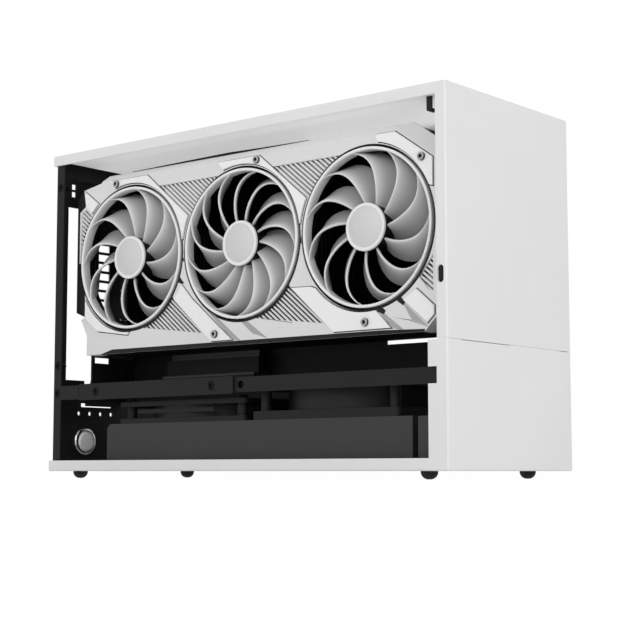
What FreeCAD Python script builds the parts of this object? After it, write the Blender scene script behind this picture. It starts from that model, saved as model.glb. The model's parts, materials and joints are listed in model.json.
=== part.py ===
import FreeCAD, Part
import math
import os

V = FreeCAD.Vector

# Every place is given in case coordinates, in millimetres:
#   run    distance back from the front face
#   depth  distance in from the open left side
#   height distance above the underside of the base
# The model's frame has +X to the front, +Y to the right side and its origin on
# the floor under the middle of the case.

# Shells
CASE_LENGTH = 350.0
CASE_WIDTH = 141.0
CASE_HEIGHT = 231.0
SHEET = 1.5
BEND_RADIUS = 1.2
EDGE_FLANGE = 7.5
LOWER_FLANGE = 14.0
LOWER_HEIGHT = 76.8
SEAM_GAP = 0.4
CATCH_SLOT_WIDTH = 4.4
CATCH_SLOT_HEIGHT = 10.6
CATCH_SLOT_CENTRE = 115.3
CATCH_LENGTH = 3.7
CATCH_DROP = 8.7
CATCH_FOOT = 7.0
CATCH_RUN = 12.3
SOCKET_DEPTH = 5.0
SOCKET_RIM = 0.5
FIT_GAP = 0.3

# Feet
FOOT_DIAMETER = 10.5
FOOT_HEIGHT = 5.0
FOOT_ROUND = 3.6
FOOT_FRONT = 24.5
FOOT_REAR = 17.0
FOOT_SIDE = 15.5

# Rear frame
REAR_INSET = 2.5
POST_WIDTH = 7.6
LINER_END_GAP = 17.0
CARD_WINDOW_SIDE = 11.4
CARD_WINDOW_BASE = 66.4
CARD_WINDOW_TOP = 194.5
WINDOW_NOTCH_WIDTH = 7.0
WINDOW_NOTCH_DROP = 4.0
WINDOW_NOTCH_DEPTH = 33.0
LACING_SLOT_WIDTH = 4.2
LACING_SLOT_HEIGHT = 2.0
LACING_SLOT_DEPTH = 16.5
LACING_SLOT_PITCH = 5.6
LACING_SLOT_BASE = 204.4
CABLE_SLIT_LENGTH = 30.6
CABLE_SLIT_HEIGHT = 0.8
CABLE_SLIT_RISE = 47.0
CABLE_NOTCH_WIDTH = 5.0
CABLE_NOTCH_HEIGHT = 2.8
TIE_HOLE_DIAMETER = 3.2
TIE_HOLE_FIRST = 24.9
TIE_HOLE_PITCH = 10.6
TIE_HOLE_COUNT = 4
TIE_HOLE_RISE = 42.2
IO_WINDOW_WIDTH = 44.45
IO_WINDOW_HEIGHT = 158.75
IO_WINDOW_DROP = 4.0
POST_SCREW_HEIGHTS = (76.0, 207.0)

# Rails and cross brace
RAIL_BASE = 51.0
RAIL_HEIGHT = 10.0
REAR_RAIL_LIP = 0.8
RAIL_TRAY_LAP = 4.1
RAIL_LAP = 26.0
RAIL_TAB = 19.0
RAIL_TAB_GAP = 0.4
RAIL_NOTCH = 7.8
RAIL_SCREW_RUN = 302.8
LAP_SCREW_OFFSET = 19.4
BRACE_HOLE_OFFSET = 5.7
BRACE_HOLE_DIAMETER = 5.2
BRACE_WIDTH = 12.0
BRACE_THICKNESS = 2.0

# Tray and standoffs for a 170 mm square board
TRAY_DEPTH = 70.0
TRAY_BASE = 50.0
TRAY_MARGIN = 12.0
BOARD_ROW_SPACING = 154.94
BOARD_COLUMN_SPACING = 157.48
BOARD_HOLE_EDGE = 10.16
BOARD_CENTRE = 136.0
BOARD_REAR_GAP = 2.0
STANDOFF_HEIGHT = 6.5
STANDOFF_DIAMETER = 6.0
STANDOFF_BORE = 2.5
TRAY_WINDOW = 100.0
TRAY_WINDOW_ROUND = 8.0

# Power-supply bracket for a small 125 by 63.5 mm supply
PSU_WALL_HEIGHT = 21.5
PSU_WALL_STEP = 6.0
PSU_WALL_STEP_RUN = 95.6
PSU_WALL_OVERLAP = 28.1
PSU_TRAY_GAP = 15.4
PSU_FACE_HEIGHT = 127.0
PSU_RAIL_GAP = 0.5
PSU_SPACING_TALL = 113.0
PSU_SPACING_WIDE = 51.5
PSU_HOLE_DIAMETER = 3.8
PSU_WINDOW_TALL = 104.0
PSU_WINDOW_WIDE = 42.0
PSU_SHELF_FRONT = 40.0

# Slot plate and riser
SLOT_PLATE_INSET = 11.0
SLOT_PLATE_WIDTH = 43.0
SLOT_PLATE_DROP = 3.0
SLOT_PLATE_TOP = 194.0
SLOT_PLATE_RIM = 5.0
SLOT_PLATE_FOOT = 26.0
SLOT_HOLE_WIDTH = 14.4
SLOT_HOLE_HEIGHT = 4.6
SLOT_HOLE_SIDE = 9.9
SLOT_HOLE_RISE = 81.4
RISER_REAR_GAP = 48.0
RISER_LENGTH = 89.0
RISER_SHELF = 65.0
RISER_BOARD = 1.6
RISER_BOARD_WIDTH = 17.0
RISER_SLOT_WIDTH = 7.5
RISER_SLOT_HEIGHT = 11.2
RISER_GROOVE = 8.0
RISER_TAB = 14.0

# Power switch and inlet
SWITCH_DEPTH = 30.0
SWITCH_RISE = 21.7
SWITCH_BARREL = 14.4
SWITCH_BEZEL = 20.6
SWITCH_BEZEL_THICKNESS = 1.4
SWITCH_STAND = 3.5
SWITCH_NUT_THICKNESS = 2.2
BUTTON_DIAMETER = 11.0
BUTTON_GAP = 0.1
BUTTON_THICKNESS = 3.2
BUTTON_PROUD = 0.6
BUTTON_TRAVEL = 1.5
INLET_DEPTH = 104.0
INLET_RISE = 26.0
INLET_WIDTH = 27.0
INLET_HEIGHT = 19.5
INLET_LENGTH = 20.0
INLET_FLANGE_WIDTH = 48.0
INLET_FLANGE_HEIGHT = 23.0
INLET_FLANGE_THICKNESS = 2.0
INLET_SOCKET_WALL = 1.6
INLET_SOCKET_LENGTH = 16.0
INLET_PIN_LENGTH = 12.0
INLET_PIN_WIDTH = 4.0
INLET_PIN_THICKNESS = 2.0
INLET_PIN_PITCH = 7.0
INLET_SCREW_PITCH = 40.0

# Radiator and its two 120 mm fans
RADIATOR_FRONT = 33.0
RADIATOR_LENGTH = 267.0
RADIATOR_WIDTH = 120.0
RADIATOR_THICKNESS = 30.0
RADIATOR_CHAMFER = 3.0
GASKET = 1.5
TANK_LENGTH = 16.0
TANK_NECK = 4.0
TANK_INSET = 8.0
TANK_ROUND = 1.2
CORE_LENGTH = 240.0
CORE_WIDTH = 97.0
CORE_RECESS = 2.0
CORE_TUBE = 2.0
CORE_TUBE_COUNT = 12
CORE_FIN_RECESS = 1.5
PLUG_DIAMETER = 12.0
PLUG_HEIGHT = 6.0
PLUG_SPACING = 64.0
FAN_SIZE = 120.0
FAN_HOLE_SPACING = 105.0
FAN_HOLE_DIAMETER = 4.4
FAN_BORE = 116.0
FAN_CORNER = 5.0
FAN_SPACING = 126.0
FAN_BARREL_WALL = 1.4
SLIM_FAN = 15.0
SLIM_FLANGE = 3.4
FULL_FAN = 25.0
FULL_FLANGE = 5.7
FAN_HUB = 40.0
FAN_TIP_GAP = 1.2
FAN_BASE = 3.0
FAN_STRUT = 4.0
FAN_STRUT_COUNT = 4
FAN_STRUT_ANGLE = 45.0
FAN_BLADES = 9
FAN_BLADE_SWEEP = 24.0
FAN_BLADE_CHORD_HUB = 34.0
FAN_BLADE_CHORD_TIP = 30.0
VENT_SLOT_LENGTH = 44.0
VENT_SLOT_WIDTH = 4.0
VENT_SLOT_PITCH = 8.0
VENT_ROW_COUNT = 13

# Graphics card
CARD_FRONT = 10.0
CARD_LENGTH = 318.0
CARD_REAR_GAP = 2.0
CARD_BASE = 83.0
CARD_HEIGHT = 131.0
SHROUD_WALL = 2.5
SHROUD_DEPTH = 12.0
SHROUD_BEVEL_RISE = 5.5
SHROUD_BEVEL_REACH = 9.0
SHROUD_REAR_CUT = 16.0
SHROUD_REAR_CUT_RISE = 41.0
SHROUD_REAR_TOP_CUT = 24.0
SHROUD_FRONT_CUT = 23.0
SHROUD_FRONT_CUT_DROP = 16.0
SHROUD_FRONT_BEVEL = 8.2
SHROUD_FRONT_LOW_CUT = 9.0
CARD_FAN_PITCH = 105.5
CARD_FAN_RISE = 67.5
CARD_FAN_OPENING = 104.0
TRIM_PROUD = 1.4
TRIM_CLEAR = 1.2
TRIM_EDGE = 3.5
TRIM_POCKET = 1.0
TRIM_GROOVE = 0.6
LOUVRE_RECESS = 1.0
LOUVRE_DEPTH = 4.5
LOUVRE_PLATE = 0.8
LOUVRE_PITCH = 2.6
LOUVRE_RIB = 1.3
LOUVRE_ANGLE = 39.0
SHROUD_SCREW_HEAD = 5.2
SHROUD_SCREW_HEIGHT = 1.8
FRAME_PLATE = 2.0
FRAME_MARGIN = 0.6
END_CAP_RECESS = 0.6
HEATSINK_FRONT = 30.0
HEATSINK_REAR_GAP = 27.0
HEATSINK_FRONT_GAP = 12.0
HEATSINK_BASE = 4.0
FIN_PITCH = 3.2
FIN_THICKNESS = 0.8
COLD_PLATE = 60.0
COLD_PLATE_DEPTH = 3.0
CARD_BOARD = 1.6
CARD_BOARD_RISE = 2.0
CARD_BOARD_HEIGHT = 120.0
CARD_BOARD_FRONT_GAP = 40.0
FINGER_LENGTH = 85.0
FINGER_REACH = 6.5
BACKPLATE_GAP = 2.5
BACKPLATE = 1.5
BACKPLATE_TRAY_GAP = 5.4
BACKPLATE_POST = 5.0
BRACKET_THICKNESS = 1.0
BRACKET_TAB = 9.0
BRACKET_WIDTH = 38.0
BRACKET_VENT_WIDTH = 10.4
BRACKET_VENT_HEIGHT = 5.0
BRACKET_VENT_PITCH = 7.0
BRACKET_VENT_COUNT = 7
BRACKET_VENT_SIDE = 2.6
BRACKET_VENT_RISE = 37.0
PORT_COUNT = 4
PORT_PITCH = 22.0
PORT_HEIGHT = 16.0
PORT_WIDTH = 5.6
PORT_LENGTH = 16.0
PORT_RISE = 30.0
PORT_WALL = 0.8

# Card fan rotors
ROTOR_RING = 101.0
ROTOR_RING_WALL = 2.0
ROTOR_RING_DEPTH = 7.0
ROTOR_PROUD = 1.0
ROTOR_HUB = 30.4
ROTOR_HUB_DEPTH = 16.0
ROTOR_HUB_ROUND = 1.2
ROTOR_CAP = 25.0
ROTOR_CAP_RECESS = 0.5
ROTOR_BLADE_DEPTH = 13.5
ROTOR_BLADE_INSET = 1.5
ROTOR_BLADE_SWEEP = 23.0
ROTOR_BLADE_FLARE = 15.0
ROTOR_CHORD_HUB = 30.0
ROTOR_CHORD_TIP = 16.0
ROTOR_BLADE_COUNTS = (11, 13, 11)
ROTOR_HANDS = (1, -1, 1)
MOTOR_GAP = 0.5
SHAFT_DIAMETER = 3.0
SHAFT_GAP = 0.05
SHAFT_END = 3.0
BLADE_THICKNESS = 1.7
BLADE_STATIONS = 6
BLADE_FLARE_POWER = 6
BLADE_BITE = 1.0
BLADE_CAMBER = 0.12

# Screws
SCREW_SHANK = 2.8
SCREW_HEAD = 5.4
SCREW_HEAD_HEIGHT = 1.0
SCREW_GAP = 0.1
SCREW_HEAD_GAP = 0.3
SCREW_REACH = 3.0
FAN_SCREW_SHANK = 3.5
FAN_SCREW_HEAD = 7.0
FAN_SCREW_HEAD_HEIGHT = 2.2
FAN_SCREW_REACH = 3.0
OVERCUT = 1.0
SAME_PLACE = 0.0001

# Places worked out from the sizes above
REAR_FACE = CASE_LENGTH - REAR_INSET
REAR_INNER = REAR_FACE - SHEET
FAR_SIDE = CASE_WIDTH - SHEET
TOP_INNER = CASE_HEIGHT - SHEET
LINER_BASE = CASE_HEIGHT - EDGE_FLANGE
LINER_END = CASE_LENGTH - LINER_END_GAP
RAIL_TOP = RAIL_BASE + RAIL_HEIGHT
RAIL_CENTRE = RAIL_BASE + RAIL_HEIGHT / 2
FRAME_FRONT = REAR_FACE - POST_WIDTH
TAB_FRONT = FRAME_FRONT - RAIL_TAB
BOARD_REAR_ROW = REAR_INNER - BOARD_REAR_GAP - BOARD_HOLE_EDGE
BOARD_FRONT_ROW = BOARD_REAR_ROW - BOARD_ROW_SPACING
TRAY_FRONT = BOARD_FRONT_ROW - TRAY_MARGIN
TRAY_BACK = TRAY_DEPTH + SHEET
RAIL_JOINT = TRAY_FRONT + RAIL_TRAY_LAP
SLOT_PLATE_RUN = REAR_INNER - SLOT_PLATE_INSET
SLOT_PLATE_SIDE = TRAY_DEPTH - SLOT_PLATE_WIDTH
BRACKET_FRONT = SLOT_PLATE_RUN - BRACKET_THICKNESS
PSU_FACE_RUN = TRAY_FRONT - PSU_TRAY_GAP - SHEET
PSU_FAR_SIDE = CASE_WIDTH - 3 * SHEET - PSU_RAIL_GAP
BRACE_REAR = RAIL_JOINT + SHEET
BRACE_FRONT = BRACE_REAR - BRACE_WIDTH
RADIATOR_BASE = SHEET + GASKET
RADIATOR_TOP = RADIATOR_BASE + RADIATOR_THICKNESS
RADIATOR_MIDDLE = RADIATOR_FRONT + RADIATOR_LENGTH / 2
RADIATOR_SIDE = (CASE_WIDTH - RADIATOR_WIDTH) / 2
FAN_FRONT_RUN = RADIATOR_MIDDLE - FAN_SPACING / 2
FAN_REAR_RUN = RADIATOR_MIDDLE + FAN_SPACING / 2
CARD_REAR = BRACKET_FRONT - CARD_REAR_GAP
CARD_RUN = CARD_REAR - CARD_LENGTH
CARD_MIDDLE = CARD_RUN + CARD_LENGTH / 2
CARD_TOP = CARD_BASE + CARD_HEIGHT
CARD_FAN_RUNS = (CARD_MIDDLE + CARD_FAN_PITCH, CARD_MIDDLE, CARD_MIDDLE - CARD_FAN_PITCH)
CARD_FAN_HEIGHT = CARD_BASE + CARD_FAN_RISE
SHROUD_BACK = CARD_FRONT + SHROUD_DEPTH
BACKPLATE_FRONT = TRAY_DEPTH - BACKPLATE_TRAY_GAP - BACKPLATE
CARD_BOARD_BACK = BACKPLATE_FRONT - BACKPLATE_GAP
CARD_BOARD_DEPTH = CARD_BOARD_BACK - CARD_BOARD
HEATSINK_BACK = CARD_BOARD_DEPTH - COLD_PLATE_DEPTH
CARD_BOARD_BASE = CARD_BASE + CARD_BOARD_RISE
ROTOR_FRONT = CARD_FRONT - ROTOR_PROUD
TRIM_FACE = CARD_FRONT - TRIM_PROUD
TRIM_TOP = CARD_HEIGHT - CARD_FAN_RISE - SHROUD_BEVEL_RISE
TRIM_BOTTOM = TRIM_EDGE - CARD_FAN_RISE
RISER_RUN = BRACKET_FRONT - RISER_REAR_GAP - RISER_LENGTH
RISER_TOP = RISER_SHELF + SHEET + RISER_BOARD + RISER_SLOT_HEIGHT
PSU_BASE = RAIL_TOP

# Outline of the card's frame as run and height, from the lower rear corner round by the top
CARD_OUTLINE = (
    (CARD_REAR - SHROUD_REAR_CUT, CARD_BASE),
    (CARD_REAR, CARD_BASE + SHROUD_REAR_CUT_RISE),
    (CARD_REAR, CARD_TOP - SHROUD_REAR_TOP_CUT),
    (CARD_REAR - SHROUD_REAR_CUT, CARD_TOP),
    (CARD_RUN + SHROUD_FRONT_CUT, CARD_TOP),
    (CARD_RUN, CARD_TOP - SHROUD_FRONT_CUT_DROP),
    (CARD_RUN, CARD_BASE + SHROUD_FRONT_LOW_CUT),
    (CARD_RUN + SHROUD_FRONT_LOW_CUT, CARD_BASE),
)
FRAME_BEVELS = (0, 0, SHROUD_BEVEL_RISE, SHROUD_BEVEL_RISE, SHROUD_FRONT_BEVEL, 0, 0, 0)

# Steps of the rear end, as run from the card's rear and height from its base: the white cover,
# and the black cap that fills the steps.
COVER_STEPS = (
    (-9.5, 0.0), (-9.8, 14.0), (-3.1, 26.0), (-7.0, 27.5), (-7.0, CARD_FAN_RISE), (-0.5, CARD_FAN_RISE),
    (-0.5, 105.0), (-6.5, 109.0), (-4.8, 121.0), (-13.2, 122.5), (-22.0, CARD_HEIGHT),
)
CAP_STEPS = (
    (-6.7, 27.9), (2.6, 31.6), (2.6, 115.0), (-4.4, 121.6), (-6.1, 109.4), (-0.2, 105.4),
    (-0.2, CARD_FAN_RISE - FIT_GAP), (-6.7, CARD_FAN_RISE - FIT_GAP),
)
COVER_OUTLINE = tuple((CARD_REAR + run, CARD_BASE + height) for run, height in COVER_STEPS) + CARD_OUTLINE[4:]
CAP_OUTLINE = tuple((CARD_REAR + run, CARD_BASE + height) for run, height in CAP_STEPS)

# How far each side of the cover draws in at its front face
COVER_BEVELS = (0,) * (len(COVER_STEPS) - 2) + FRAME_BEVELS[2:]

# Trim outlines: run and height measured from the centre of the card fan beside them.
TRIM_UPPER = ((21.0, TRIM_TOP), (-16.0, TRIM_TOP), (-63.0, 19.5), (-53.0, 7.5), (13.0, 49.5))
TRIM_UPPER_FRONT = ((-8.0, TRIM_TOP), (-26.0, TRIM_TOP), (-51.5, 41.0), (-51.5, 20.0), (-20.0, 30.0))
TRIM_LOWER = ((-45.5, -33.5), (-80.5, TRIM_BOTTOM), (-99.0, TRIM_BOTTOM), (-62.0, -34.0), (-52.5, -24.0))
TRIM_LOWER_FRONT = (
    (-45.5, -33.5), (-80.5, TRIM_BOTTOM), (-125.0, TRIM_BOTTOM), (-113.0, -52.0), (-62.0, -34.0),
)
TRIM_FRONT_CORNER = ((-29.0, -47.5), (-39.0, -41.5), (-52.0, -52.5), (-52.0, -57.5), (-47.0, -62.5))
TRIM_REAR_CORNER = ((45.0, -26.0), (45.0, -41.0), (31.6, -50.9), (0.9, -55.1), (-2.0, -51.5))
TRIM_REAR_UPPER = ((47.6, 52.6), (32.0, 41.6), (38.2, 34.9), (45.2, 40.7))
LOUVRE_UPPER = ((-29.0, 48.0), (-91.0, 48.0), (-74.0, 18.0), (-63.0, 21.0))
LOUVRE_LOWER = ((-14.0, -51.0), (-73.0, -58.0), (-44.5, -32.5), (-35.0, -22.0))
LOUVRE_REAR = ((51.5, 36.5), (46.6, 39.2), (40.6, 34.2), (51.5, 9.0))
LOUVRE_FRONT = ((-40.5, -34.5), (-50.8, -21.5), (-50.8, -43.5), (-47.0, -42.5))
SHROUD_SCREWS_REAR = ((13.0, 54.0), (-84.5, -59.5))
SHROUD_SCREWS_MIDDLE = ((-16.0, 54.0),)
SHROUD_SCREWS_FRONT = ((-44.0, 38.5), (-0.5, -59.5))


def point(run, depth, height):
    """The model-frame point for a place in case coordinates."""
    return V(CASE_LENGTH / 2 - run, depth - CASE_WIDTH / 2, height + FOOT_HEIGHT)


def slab(run0, run1, depth0, depth1, height0, height1):
    """A box between two places."""
    return Part.makeBox(run1 - run0, depth1 - depth0, height1 - height0, point(run1, depth0, height0))


def side_prism(outline, depth0, depth1):
    """A plate whose (run, height) outline is seen from the open side."""
    corners = [point(run, depth0, height) for run, height in outline]
    face = Part.Face(Part.makePolygon(corners + corners[:1]))
    return face.extrude(V(0, depth1 - depth0, 0))


def plan_prism(outline, height0, height1):
    """A block whose (run, depth) outline is seen from above."""
    corners = [point(run, depth, height0) for run, depth in outline]
    face = Part.Face(Part.makePolygon(corners + corners[:1]))
    return face.extrude(V(0, 0, height1 - height0))


def side_rod(run, height, diameter, depth0, depth1):
    """A round bar across the case."""
    return Part.makeCylinder(diameter / 2, depth1 - depth0, point(run, depth0, height), V(0, 1, 0))


def end_rod(depth, height, diameter, run0, run1):
    """A round bar along the case."""
    return Part.makeCylinder(diameter / 2, run1 - run0, point(run1, depth, height), V(1, 0, 0))


def up_rod(run, depth, diameter, height0, height1):
    """An upright round bar."""
    return Part.makeCylinder(diameter / 2, height1 - height0, point(run, depth, height0), V(0, 0, 1))


def rounded(shape, chosen, radius):
    """The shape with a fillet on each edge whose middle passes the test."""
    edges = [edge for edge in shape.Edges if chosen(edge.CenterOfMass)]
    return shape.makeFillet(radius, edges)


def near(a, b):
    return abs(a - b) < SAME_PLACE


def mirrored(shape):
    """The same piece for the right-hand side."""
    return shape.mirror(V(0, 0, 0), V(0, 1, 0))


def group(shapes):
    """Separate solids that share one node."""
    return Part.makeCompound(shapes)


def side_slot(run, height, width, tall, depth0, depth1):
    """An upright slot with round ends, cut across the case."""
    straight = (tall - width) / 2
    ends = [side_rod(run, height + sign * straight, width, depth0, depth1) for sign in (-1, 1)]
    middle = slab(run - width / 2, run + width / 2, depth0, depth1, height - straight, height + straight)
    return middle.fuse(ends)


def inset(outline, amounts):
    """The outline with each side moved inwards by its own amount; a negative one moves it out."""
    count = len(outline)
    area = sum(outline[i][0] * outline[i - 1][1] - outline[i - 1][0] * outline[i][1] for i in range(count))
    turn = 1 if area < 0 else -1
    lines = []
    for i in range(count):
        (run0, height0), (run1, height1) = outline[i], outline[(i + 1) % count]
        length = math.hypot(run1 - run0, height1 - height0)
        across = (-turn * (height1 - height0) / length, turn * (run1 - run0) / length)
        lines.append((across, across[0] * run0 + across[1] * height0 + amounts[i]))
    moved = []
    for i in range(count):
        (a, b), first = lines[i - 1]
        (c, d), second = lines[i]
        scale = a * d - b * c
        moved.append(((first * d - b * second) / scale, (a * second - c * first) / scale))
    return moved


def tapered_plate(front, back, depth0, depth1):
    """A plate whose outline grows from one depth to the other with flat sides."""
    wires = []
    for outline, depth in ((front, depth0), (back, depth1)):
        corners = [point(run, depth, height) for run, height in outline]
        wires.append(Part.makePolygon(corners + corners[:1]))
    return Part.makeLoft(wires, True, True)


def outer_shell(height0, height1, closed):
    """A closed box with its folds rounded at the front and at one closed end."""
    block = slab(0, CASE_LENGTH, 0, CASE_WIDTH, height0, height1)
    front = point(0, 0, 0).x
    level = point(0, 0, closed).z
    open_level = point(0, 0, height0 + height1 - closed).z

    def folds(middle):
        return near(middle.z, level) or (near(middle.x, front) and not near(middle.z, open_level))

    return rounded(block, folds, BEND_RADIUS)


def upper_shell():
    """Top and upper front, folded from one sheet with a lip round each side opening."""
    base = LOWER_HEIGHT + SEAM_GAP
    shell = outer_shell(base, CASE_HEIGHT, CASE_HEIGHT)
    hollow = slab(SHEET, CASE_LENGTH - SHEET, SHEET, FAR_SIDE, base - OVERCUT, TOP_INNER)
    sides = slab(EDGE_FLANGE, CASE_LENGTH + OVERCUT, -OVERCUT, CASE_WIDTH + OVERCUT,
                 base - OVERCUT, CASE_HEIGHT - EDGE_FLANGE)
    slot = side_slot((EDGE_FLANGE + SHEET) / 2, CATCH_SLOT_CENTRE, CATCH_SLOT_WIDTH, CATCH_SLOT_HEIGHT,
                     -OVERCUT, CASE_WIDTH + OVERCUT)
    return shell.cut([hollow, sides, slot])


def vent_slots():
    """Two fields of long slots in the base under the radiator."""
    slots = []
    for centre in (FAN_FRONT_RUN, FAN_REAR_RUN):
        for row in range(VENT_ROW_COUNT):
            depth = CASE_WIDTH / 2 + (row - (VENT_ROW_COUNT - 1) / 2) * VENT_SLOT_PITCH
            for side in (-1, 1):
                middle = centre + side * (VENT_SLOT_LENGTH + VENT_SLOT_WIDTH) / 2
                slots.append(slab(middle - VENT_SLOT_LENGTH / 2, middle + VENT_SLOT_LENGTH / 2,
                                  depth - VENT_SLOT_WIDTH / 2, depth + VENT_SLOT_WIDTH / 2,
                                  -OVERCUT, SHEET + OVERCUT))
    return slots


def lower_shell():
    """Base and lower front, folded from one sheet, with vents and radiator screw holes."""
    shell = outer_shell(0, LOWER_HEIGHT, 0)
    hollow = slab(SHEET, CASE_LENGTH - SHEET, SHEET, FAR_SIDE, SHEET, LOWER_HEIGHT + OVERCUT)
    sides = slab(LOWER_FLANGE, CASE_LENGTH + OVERCUT, -OVERCUT, CASE_WIDTH + OVERCUT,
                 EDGE_FLANGE, LOWER_HEIGHT + OVERCUT)
    notch = slab(RAIL_NOTCH, LOWER_FLANGE + OVERCUT, -OVERCUT, CASE_WIDTH + OVERCUT, RAIL_BASE, RAIL_TOP)
    holes = [up_rod(run, depth, FAN_SCREW_SHANK + 2 * SCREW_GAP, -OVERCUT, SHEET + OVERCUT)
             for run, depth in fan_hole_places()]
    seats = [up_rod(run, depth, FAN_SCREW_HEAD + 2 * SCREW_HEAD_GAP, -OVERCUT, SCREW_HEAD_HEIGHT)
             for run, depth in fan_hole_places()]
    return shell.cut([hollow, sides, notch] + vent_slots() + holes + seats)


def panel_catches():
    """Bent clips under the inner top panel and sockets behind the slots, one of each at each side."""
    depth = 2 * SHEET + FIT_GAP
    run1 = CATCH_RUN + CATCH_LENGTH
    base = LINER_BASE - CATCH_DROP
    leg = slab(CATCH_RUN, run1, depth, depth + SHEET, base, LINER_BASE)
    foot = slab(CATCH_RUN, run1, depth, depth + CATCH_FOOT, base, base + SHEET)
    catch = leg.fuse(foot)
    centre = (EDGE_FLANGE + SHEET) / 2
    half = CATCH_SLOT_WIDTH / 2 + SOCKET_RIM
    tall = CATCH_SLOT_HEIGHT / 2 + SOCKET_RIM
    socket = slab(centre - half, centre + half, SHEET, SHEET + SOCKET_DEPTH,
                  CATCH_SLOT_CENTRE - tall, CATCH_SLOT_CENTRE + tall)
    return group([catch, mirrored(catch), socket, mirrored(socket)])


def top_liner():
    """Inner top panel: a shallow tray with its two long edges turned up to the top sheet."""
    panel = slab(SHEET, LINER_END, SHEET, FAR_SIDE, LINER_BASE, TOP_INNER)
    hollow = slab(0, CASE_LENGTH, 2 * SHEET, FAR_SIDE - SHEET, LINER_BASE + SHEET, TOP_INNER + OVERCUT)
    return panel.cut(hollow)


def case_feet():
    feet = []
    for run in (FOOT_FRONT, CASE_LENGTH - FOOT_REAR):
        for depth in (FOOT_SIDE, CASE_WIDTH - FOOT_SIDE):
            foot = up_rod(run, depth, FOOT_DIAMETER, -FOOT_HEIGHT, 0)
            feet.append(rounded(foot, lambda middle: near(middle.z, 0), FOOT_ROUND))
    return group(feet)


def rear_cuts():
    """Everything cut out of the rear plate."""
    run0 = REAR_INNER - OVERCUT
    run1 = REAR_FACE + OVERCUT
    notch = WINDOW_NOTCH_WIDTH / 2
    cuts = [
        slab(run0, run1, CARD_WINDOW_SIDE, TRAY_DEPTH - 2 * SHEET, CARD_WINDOW_BASE, CARD_WINDOW_TOP),
        slab(run0, run1, WINDOW_NOTCH_DEPTH - notch, WINDOW_NOTCH_DEPTH + notch,
             CARD_WINDOW_BASE - WINDOW_NOTCH_DROP, CARD_WINDOW_BASE + OVERCUT),
        slab(run0, run1, io_window_side(), io_window_side() + IO_WINDOW_WIDTH,
             BOARD_CENTRE - IO_WINDOW_HEIGHT / 2, BOARD_CENTRE + IO_WINDOW_HEIGHT / 2),
        slab(run0, run1, INLET_DEPTH - INLET_WIDTH / 2 - FIT_GAP, INLET_DEPTH + INLET_WIDTH / 2 + FIT_GAP,
             INLET_RISE - INLET_HEIGHT / 2 - FIT_GAP, INLET_RISE + INLET_HEIGHT / 2 + FIT_GAP),
        end_rod(SWITCH_DEPTH, SWITCH_RISE, SWITCH_BARREL + 2 * FIT_GAP, run0, run1),
    ]
    slit = TIE_HOLE_FIRST + SWITCH_BEZEL_THICKNESS + FIT_GAP
    rise = CABLE_SLIT_RISE
    cuts.append(slab(run0, run1, slit, slit + CABLE_SLIT_LENGTH, rise, rise + CABLE_SLIT_HEIGHT))
    cuts.append(slab(run0, run1, slit, slit + CABLE_NOTCH_WIDTH, rise, rise + CABLE_NOTCH_HEIGHT))
    for step in range(2):
        rise = LACING_SLOT_BASE + step * LACING_SLOT_PITCH
        cuts.append(slab(run0, run1, LACING_SLOT_DEPTH - LACING_SLOT_WIDTH / 2,
                         LACING_SLOT_DEPTH + LACING_SLOT_WIDTH / 2, rise - LACING_SLOT_HEIGHT,
                         rise + LACING_SLOT_HEIGHT))
    for step in range(TIE_HOLE_COUNT):
        depth = TIE_HOLE_FIRST + step * TIE_HOLE_PITCH
        cuts.append(end_rod(depth, TIE_HOLE_RISE, TIE_HOLE_DIAMETER, run0, run1))
    for side in (-1, 1):
        cuts.append(end_rod(INLET_DEPTH + side * INLET_SCREW_PITCH / 2, INLET_RISE,
                            SCREW_SHANK + 2 * SCREW_GAP, run0, run1))
    return cuts


def io_window_side():
    return TRAY_BACK + STANDOFF_HEIGHT + CARD_BOARD - IO_WINDOW_DROP


def screw_places():
    """Run and height of each screw through the side posts and rails."""
    posts = [(FRAME_FRONT + POST_WIDTH / 2, height) for height in POST_SCREW_HEIGHTS]
    rails = [(FRAME_FRONT + POST_WIDTH / 2, RAIL_CENTRE), (RAIL_SCREW_RUN, RAIL_CENTRE),
             (RAIL_JOINT + LAP_SCREW_OFFSET, RAIL_CENTRE)]
    return posts + rails


def screw_bores():
    """Counterbored holes for the flush screws on the left side."""
    bores = []
    for run, height in screw_places():
        bores.append(side_rod(run, height, SCREW_HEAD + 2 * SCREW_HEAD_GAP, 0, SHEET + SCREW_HEAD_HEIGHT))
        bores.append(side_rod(run, height, SCREW_SHANK + 2 * SCREW_GAP, 0, SHEET + SHEET + SHEET + OVERCUT))
    return bores


def rear_frame():
    """Rear plate with its posts, top and base lips and the two rail tabs, folded from one sheet."""
    frame = slab(FRAME_FRONT, REAR_FACE, SHEET, FAR_SIDE, SHEET, TOP_INNER)
    hollow = slab(0, REAR_INNER, 2 * SHEET, FAR_SIDE - SHEET, 2 * SHEET, TOP_INNER - SHEET)
    lip = slab(LINER_END + FIT_GAP, REAR_INNER, 2 * SHEET, FAR_SIDE - SHEET, TOP_INNER - SHEET, TOP_INNER)
    tab = slab(TAB_FRONT, FRAME_FRONT + OVERCUT, SHEET, 2 * SHEET, RAIL_BASE, RAIL_TOP)
    body = frame.cut(hollow).fuse([lip, tab, mirrored(tab)])
    bores = screw_bores()
    return body.cut(rear_cuts() + bores + [mirrored(bore) for bore in bores])


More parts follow.
